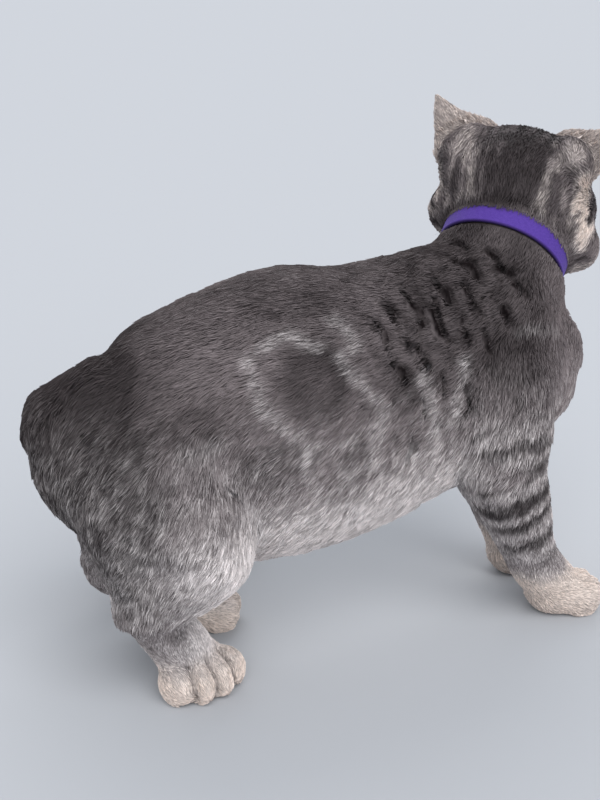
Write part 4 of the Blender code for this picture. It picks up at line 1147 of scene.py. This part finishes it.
def kept_off_creases(root, middle, tip):
    """How much of its length a tuft keeps, so that it doesn't bridge a crease; what grows in one is short."""
    keep = np.ones(len(root))
    for share in (1.0, 0.85, 0.7, 0.55, 0.4, 0.25):
        start, end, part = (root, middle, 2 * share) if share < 0.5 else (middle, tip, 2 * share - 1)
        within = creases((start + part * (end - start)) / MM) > 0.35
        keep = np.where(within, share - 0.12, keep)
    return np.where(creases(root / MM) > 0.35, 0.25, keep)


def kept_off_band(root, tip, uneven):
    """How much of its length a tuft from the head's side keeps, to end a little over the band's edge."""
    edge = COLLAR_HALF_WIDTH - 1.0 - 2.4 * uneven
    start, at_neck = by_collar(root)
    end = into(COLLAR, tip)
    over = (start[:, 2] > edge) & (end[:, 2] < edge) & at_neck
    share = (start[:, 2] - edge) / np.maximum(start[:, 2] - end[:, 2], 1e-6)
    return np.where(over, np.clip(share, 0.2, 1), 1.0)


def clear_of_band(points, margin):
    """Points moved out of the collar's band, where tufts would run through it."""
    local = into(COLLAR, points)
    outside = np.array(COLLAR_RADII) + COLLAR_THICKNESS
    radial = np.hypot(local[:, 0] / outside[0], local[:, 1] / outside[1])
    reach = outside[0] + margin
    inside = (np.abs(local[:, 2]) < COLLAR_HALF_WIDTH + 0.5) & (radial * outside[0] < reach) & (radial > 0.6)
    grow = np.where(inside, reach / np.maximum(radial * outside[0], 1e-6), 1.0)
    local[:, :2] *= grow[:, None]
    return out_of(COLLAR, local)


def marks_in_ears(skin):
    """1 where the hair is longer, low in the cup of an ear."""
    inside, height = ear_places(skin)
    return inside * (skin.kind == "ear") * fall(height, 0.35, 0.7)


def grow_coat(skin):
    """Every piece of the coat."""
    rng = np.random.default_rng(SEED)
    skin.triangulate()
    corners = skin.points[skin.triangles]
    crossed = np.cross(corners[:, 1] - corners[:, 0], corners[:, 2] - corners[:, 0])
    areas = sizes(crossed) / 2 / MM**2
    chances = areas * skin.density[skin.triangles].min(1)
    left = corners[:, :, 1].mean(1) / MM > MIDDLE_Y
    for name, kinds in PIECES.items():
        chosen = np.isin(skin.kind, kinds)[skin.triangles[:, 0]]
        if name.endswith("flank"):
            chosen &= left == name.startswith("coat_left")
        skin.unwrap = unwrap_of(skin, name, chosen)
        made = grow_piece(skin, name, chosen, chances[chosen], rng)


def make_skin():
    """The whole skin with its marks, drawn in from the solids by the depth of the coat."""
    made, flesh = whole_skin()
    skin = Skin(made, flesh)
    shape_skin(skin)
    skin.lie = lie_of(skin)
    skin.marks = paint(skin)
    hairy = marks_in_ears(skin)
    skin.length = skin.length * (1 + 0.7 * hairy)
    skin.lift = skin.lift * (1 + 0.3 * hairy)
    skin.density = density_of(skin, skin.marks)
    for key, value in skin.marks.items():
        store(skin.mesh, key, value)
    skin.mesh.shade_smooth()
    made.data.materials.append(skin_material())
    skin.fur = fur_material()
    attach(made, "root")
    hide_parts(*flesh)
    return skin


def eye_material():
    """A wet eye: a clear gloss over an iris with fine rays round a slit pupil, dark beyond the iris."""
    made, tree, mesh = new_material("wet_eye", "aside", "above")
    spot = add_node(tree, "CombineXYZ", {"X": mesh["aside"], "Y": mesh["above"]})
    reach = add_node(tree, "VectorMath", {0: spot}, operation="LENGTH")
    slit = add_node(tree, "VectorMath", {0: spot, 1: (1 / PUPIL[0], 1 / PUPIL[1], 0)}, operation="MULTIPLY")
    inside = add_node(tree, "VectorMath", {0: slit}, operation="LENGTH")
    way = add_node(tree, "VectorMath", {0: spot}, operation="NORMALIZE")
    rays = add_node(tree, "TexNoise", {"Vector": way, "Scale": 9.0, "Detail": 6.0})
    ring = add_node(tree, "MapRange", {0: reach, 1: 2.0, 2: IRIS_RADIUS})
    hue = add_node(tree, "Mix", {0: ring, 6: linear("#c9b24a"), 7: linear("#6f8a3c")}, **RGBA)
    rayed = add_node(tree, "Mix", {0: rays, 6: linear("#4c5a22"), 7: hue}, **RGBA)
    limbus = add_node(tree, "MapRange", {0: reach, 1: IRIS_RADIUS - 0.7, 2: IRIS_RADIUS})
    edged = add_node(tree, "Mix", {0: limbus, 6: rayed, 7: linear("#17120d")}, **RGBA)
    hole = add_node(tree, "MapRange", {0: inside, 1: 1.06, 2: 0.94})
    colour = add_node(tree, "Mix", {0: hole, 6: edged, 7: linear("#040404")}, **RGBA)
    return finish_material(made, {
        "Base Color": colour, "Roughness": 0.12, "IOR": 1.376, "Specular IOR Level": 0.5,
        "Coat Weight": 1.0, "Coat Roughness": 0.03,
    })


def sheet(rows, columns, closed=False):
    """Triangles over rows of points: each row is a ring, and if closed, the last row meets the first."""
    a = np.arange(rows * columns).reshape(rows, columns)
    b = np.roll(a, -1, 1)
    quads = np.stack([a, b, np.roll(b, -1, 0), np.roll(a, -1, 0)], 2)[:rows if closed else rows - 1]
    return quads.reshape(-1, 4)[:, [[0, 1, 2], [0, 2, 3]]].reshape(-1, 3)


def closed_rings(rings, ends):
    """A closed skin over rings of points with a point at each end, as points and triangles."""
    count, around = rings.shape[:2]
    points = np.concatenate([rings.reshape(-1, 3), ends])
    first = np.arange(around)
    last = first + (count - 1) * around
    tip = 0 * first + count * around
    caps = np.stack([tip, np.roll(first, -1), first], 1), np.stack([tip + 1, last, np.roll(last, -1)], 1)
    return points, np.concatenate([sheet(count, around), *caps])


def make_eyes():
    """Each eye as the front of a ball with a raised cornea."""
    material = eye_material()
    rings, around, reach = 40, 64, math.radians(104)
    angle = reach * np.arange(1, rings + 1)[:, None] / rings
    turn = 2 * math.pi * np.arange(around)[None] / around
    bulge = EYE_RADIUS + CORNEA * np.exp(-(angle / 0.42) ** 2)
    x, y, z = bulge * np.cos(angle) + 0 * turn, np.cos(turn), np.sin(turn)
    ends = [[EYE_RADIUS + CORNEA, 0, 0], [EYE_RADIUS * math.cos(reach), 0, 0]]
    local, faces = closed_rings(np.stack([x, bulge * np.sin(angle) * y, bulge * np.sin(angle) * z], 2), ends)
    values = {"aside": local[:, 1], "above": local[:, 2]}
    for side, hand in (("left", 1), ("right", -1)):
        made = mesh_object(f"eyeball_{side}", out_of(eye_frame(hand), local), faces[:, ::-1], values)
        made.data.materials.append(material)
        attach(made, "root")
        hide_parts(f"eye_{side}")


def nose_material():
    """Nose leather: bare, finely pebbled skin with a little moisture."""
    made, tree, _ = new_material("nose_leather")
    place = add_node(tree, "TexCoord").outputs["Object"]
    pebbles = add_node(tree, "TexVoronoi", {"Vector": place, "Scale": 1 / (0.7 * MM)})
    _, colour = grain(tree, 3.0, 3.0, "#7a4b45", "#a86f66")
    bump = add_node(tree, "Bump", {"Strength": 0.6, "Distance": 0.12 * MM, "Height": pebbles}, invert=True)
    return finish_material(made, {
        "Base Color": colour, "Roughness": 0.42, "IOR": 1.45, "Specular IOR Level": 0.5, "Normal": bump,
    })


def make_nose():
    """The nose leather, finer than its solid and rounded at its nostrils."""
    made = add_object("nose_skin", fused(["nose"], NOSE_VOXEL))
    soften = made.modifiers.new("soften", "SMOOTH")
    soften.iterations = 4
    made.data = evaluated(made)
    made.modifiers.clear()
    made.data.shade_smooth()
    made.data.materials.append(nose_material())
    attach(made, "root")
    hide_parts("nose")


def whisker_material():
    """Whisker: a stiff, pale bristle."""
    made, tree, _ = new_material("whisker_keratin")
    _, colour = grain(tree, 12, 2.0, "#cfc8c2", "#fbf8f4")
    return finish_material(made, {
        "Base Color": colour, "Roughness": 0.35, "IOR": 1.55, "Specular IOR Level": 0.5,
    })


def tube(spots, radii, sides=6):
    """A closed tube round a bent line, as points and triangles."""
    along = unit(np.gradient(spots, axis=0))
    across = unit(np.cross(along, (0.3, 0.2, 1.0)))
    over = np.cross(along, across)
    turn = 2 * math.pi * np.arange(sides) / sides
    ring = across[:, None] * np.cos(turn)[None, :, None] + over[:, None] * np.sin(turn)[None, :, None]
    return closed_rings(spots[:, None] + ring * radii[:, None, None], spots[[0, -1]])


def make_whiskers(skin):
    """Whiskers in rows on the muzzle, and a few over each eye, swept back."""
    rng = np.random.default_rng(SEED + 1)
    roots = []
    for number, (row, count) in enumerate(WHISKER_ROWS):
        for k in range(count):
            lean = (-0.62 - 0.10 * k, 0.80, 0.22 - 0.26 * number)
            roots.append((whisker_root(row, k), lean, 30 + 5 * k + 4 * rng.random()))
    for k in range(4):
        roots.append(((31 - 2.2 * k, 15 + 2.4 * k, 15 - 0.6 * k), (-0.75, 0.45 + 0.1 * k, 0.75), 17 + 2 * k))
    pieces, faces, base = [], [], 0
    for hand in (1, -1):
        for place, lean, length in roots:
            start = np.array(HEAD @ Vector((place[0], hand * place[1], place[2])))
            start = skin.nearest(start[None])[0][0]
            way = turned(HEAD, lean[0], hand * lean[1], lean[2])
            share = np.linspace(-0.04, 1, 15)[:, None]
            sag = np.array([0, 0, -0.16]) * share**2
            spots = start + (way * share + sag * (0.6 + 0.5 * rng.random())) * length * MM
            radii = WHISKER_RADIUS * MM * (1.02 - np.clip(share[:, 0], 0, 1)) ** 0.8
            points, triangles = tube(spots, radii)
            pieces.append(points)
            faces.append(triangles + base)
            base += len(points)
    made = mesh_object("whiskers", np.concatenate(pieces), np.concatenate(faces))
    made.data.materials.append(whisker_material())
    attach(made, "root")


def webbing_material():
    """Brushed nylon webbing: a fine rib weave under a soft nap, with a little painted shade in the hollows of
    its weave and towards its turned edges.
    """
    made, tree, mesh = new_material("brushed_webbing", "round", "breadth")
    ribs = []
    for name, pitch in (("round", RIB_PITCH), ("breadth", RIB_PITCH * 0.8)):
        turn = add_node(tree, "Math", {0: mesh[name], 1: 2 * math.pi / pitch}, operation="MULTIPLY")
        ribs.append(add_node(tree, "Math", {0: turn}, operation="SINE"))
    weave = add_node(tree, "Math", {0: ribs[0], 1: ribs[1]}, operation="MULTIPLY")
    nap, tone = grain(tree, 0.9, 4.0, "#3c227a", "#5c409e")
    height = add_node(tree, "Math", {0: weave, 1: 0.35, 2: nap}, operation="MULTIPLY_ADD")
    edge = add_node(tree, "Math", {0: mesh["breadth"]}, operation="ABSOLUTE")
    # painted shade towards both edges of the band
    edge_shade = add_node(tree, "MapRange", {0: edge, 1: COLLAR_HALF_WIDTH - 1.6, 2: COLLAR_HALF_WIDTH})
    colour = add_node(tree, "Mix", {0: edge_shade, 6: tone, 7: linear("#241347")}, **RGBA)
    # painted shade in the hollows of the weave and painted light on its ribs, in step with the bump
    weave_shade = add_node(tree, "MapRange", {0: weave, 1: -1.0, 2: 1.0, 3: 0.82, 4: 1.08})
    woven = shaded(tree, colour, weave_shade)
    bump = add_node(tree, "Bump", {"Strength": 0.7, "Distance": 0.25 * MM, "Height": height})
    return finish_material(made, {
        "Base Color": woven, "Roughness": 0.75, "IOR": 1.5, "Specular IOR Level": 0.25,
        "Sheen Weight": 0.05, "Sheen Roughness": 0.4, "Normal": bump,
    })


def plastic_material():
    """Moulded acetal: a satin plastic with the faint grain of its mould."""
    made, tree, _ = new_material("moulded_acetal")
    roughened, colour = grain(tree, 0.3, 2.0, "#2a1f4d", "#352860")
    bump = add_node(tree, "Bump", {"Strength": 0.25, "Distance": 0.04 * MM, "Height": roughened})
    return finish_material(made, {
        "Base Color": colour, "Roughness": 0.4, "IOR": 1.48, "Specular IOR Level": 0.5, "Normal": bump,
    })


def make_band():
    """The collar's band: a flat woven strap with round edges and a shallow dip along its middle."""
    around, round_edge = 360, 1.0
    half_thick = COLLAR_THICKNESS / 2
    flat = COLLAR_HALF_WIDTH - round_edge
    profile = []
    for side in (1, -1):
        for share in np.linspace(-1, 1, 17):
            dip = 0.14 * (1 - share**2)
            profile.append((half_thick * side - side * dip, side * share * flat))
        for turn in (math.pi / 4, math.pi / 2, math.pi * 3 / 4):
            profile.append((side * half_thick * math.cos(turn), side * (flat + round_edge * math.sin(turn))))
    out, z = np.array(profile).T
    turn = 2 * math.pi * np.arange(around)[:, None] / around
    out = half_thick + out + 0.12 * np.sin(5 * turn + 1.0)
    local = np.stack([
        (COLLAR_RADII[0] + out) * np.cos(turn), (COLLAR_RADII[1] + out) * np.sin(turn),
        z + 0.10 * np.sin(3 * turn),
    ], 2).reshape(-1, 3)
    size = len(profile)
    values = {
        "round": np.repeat(2 * math.pi * COLLAR_RADII[0] * np.arange(around) / around, size),
        "breadth": np.tile(z, around),
    }
    made = mesh_object("woven_band", out_of(COLLAR, local), sheet(around, size, closed=True), values)
    made.data.materials.append(webbing_material())
    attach(made, "root")
    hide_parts("collar_band")


def rounded_box(bm, middle, size, bevel):
    """Adds a box with round edges in the collar's frame."""
    box = bmesh.new()
    bmesh.ops.create_cube(box, size=1.0)
    bmesh.ops.transform(box, matrix=Matrix.Translation(middle) @ Matrix.Diagonal((*size, 1)), verts=box.verts)
    bmesh.ops.bevel(box, geom=box.edges[:], offset=bevel, segments=4, profile=0.5, affect="EDGES")
    pour(box, bm)


def make_clasp():
    """A closed side-release clasp: a socket, a plug with two springy arms, grip ridges and end bars."""
    bm = bmesh.new()
    out = COLLAR_RADII[0] + COLLAR_THICKNESS + 0.35 + 2.5
    rounded_box(bm, (out, -3.6, 0), (4.8, 11.6, 11.4), 1.3)
    rounded_box(bm, (out - 0.1, 6.4, 0), (4.2, 6.8, 11.8), 1.1)
    for hand in (1, -1):
        rounded_box(bm, (out - 0.1, 1.2, hand * 5.2), (3.0, 7.6, 1.7), 0.7)
        rounded_box(bm, (out - 0.2, hand * 9.4, 0), (2.6, 1.3, 12.0), 0.5)
    for k in range(4):
        rounded_box(bm, (out + 2.0, 4.6 + 1.25 * k, 0), (0.7, 0.55, 8.4), 0.2)
    bmesh.ops.transform(bm, matrix=COLLAR, verts=bm.verts)
    made = add_object("clasp", mesh_from(bm, "clasp"))
    made.data.shade_smooth()
    made.data.materials.append(plastic_material())
    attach(made, "root")
    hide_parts("collar_clasp")


def paper_material():
    """Studio paper: a matt, even ground that draws no look to itself."""
    made, _, _ = new_material("studio_paper")
    return finish_material(made, {
        "Base Color": linear("#b0b2b6"), "Roughness": 1.0, "Specular IOR Level": 0.0,
    })


def aim(made, way):
    """Turns a lamp or the camera to look that way."""
    made.rotation_euler = way.to_track_quat("-Z", "Y").to_euler()


def studio():
    """A plain pale floor, soft lights round it, and the camera at the photograph's place."""
    bm = bmesh.new()
    bmesh.ops.create_grid(bm, x_segments=1, y_segments=1, size=60.0)
    floor = add_object("floor", mesh_from(bm, "floor"))
    floor.data.materials.append(paper_material())
    world = bpy.data.worlds.new("soft_light")
    world.use_nodes = True
    world.node_tree.nodes["Background"].inputs["Color"].default_value = linear("#d4d9e0")
    world.node_tree.nodes["Background"].inputs["Strength"].default_value = 1.0
    bpy.context.scene.world = world
    for name, direction, power in SUNS:
        light = bpy.data.lights.new(name, "SUN")
        light.angle = math.radians(SUN_SPREAD)
        light.energy = power
        aim(add_object(name, light), -Vector(direction))
    camera = bpy.data.cameras.new("camera")
    camera.sensor_width = 36
    camera.lens = CAMERA_LENS
    viewer = add_object("camera", camera)
    viewer.location = CAMERA_PLACE
    yaw, pitch = math.radians(CAMERA_YAW), math.radians(CAMERA_PITCH)
    aim(viewer, Vector((math.sin(yaw) * math.cos(pitch), math.cos(yaw) * math.cos(pitch), -math.sin(pitch))))
    bpy.context.scene.camera = viewer
    bpy.context.scene.view_settings.view_transform = "Standard"


skin = make_skin()
grow_coat(skin)
make_eyes()
make_nose()
make_whiskers(skin)
make_band()
make_clasp()
studio()
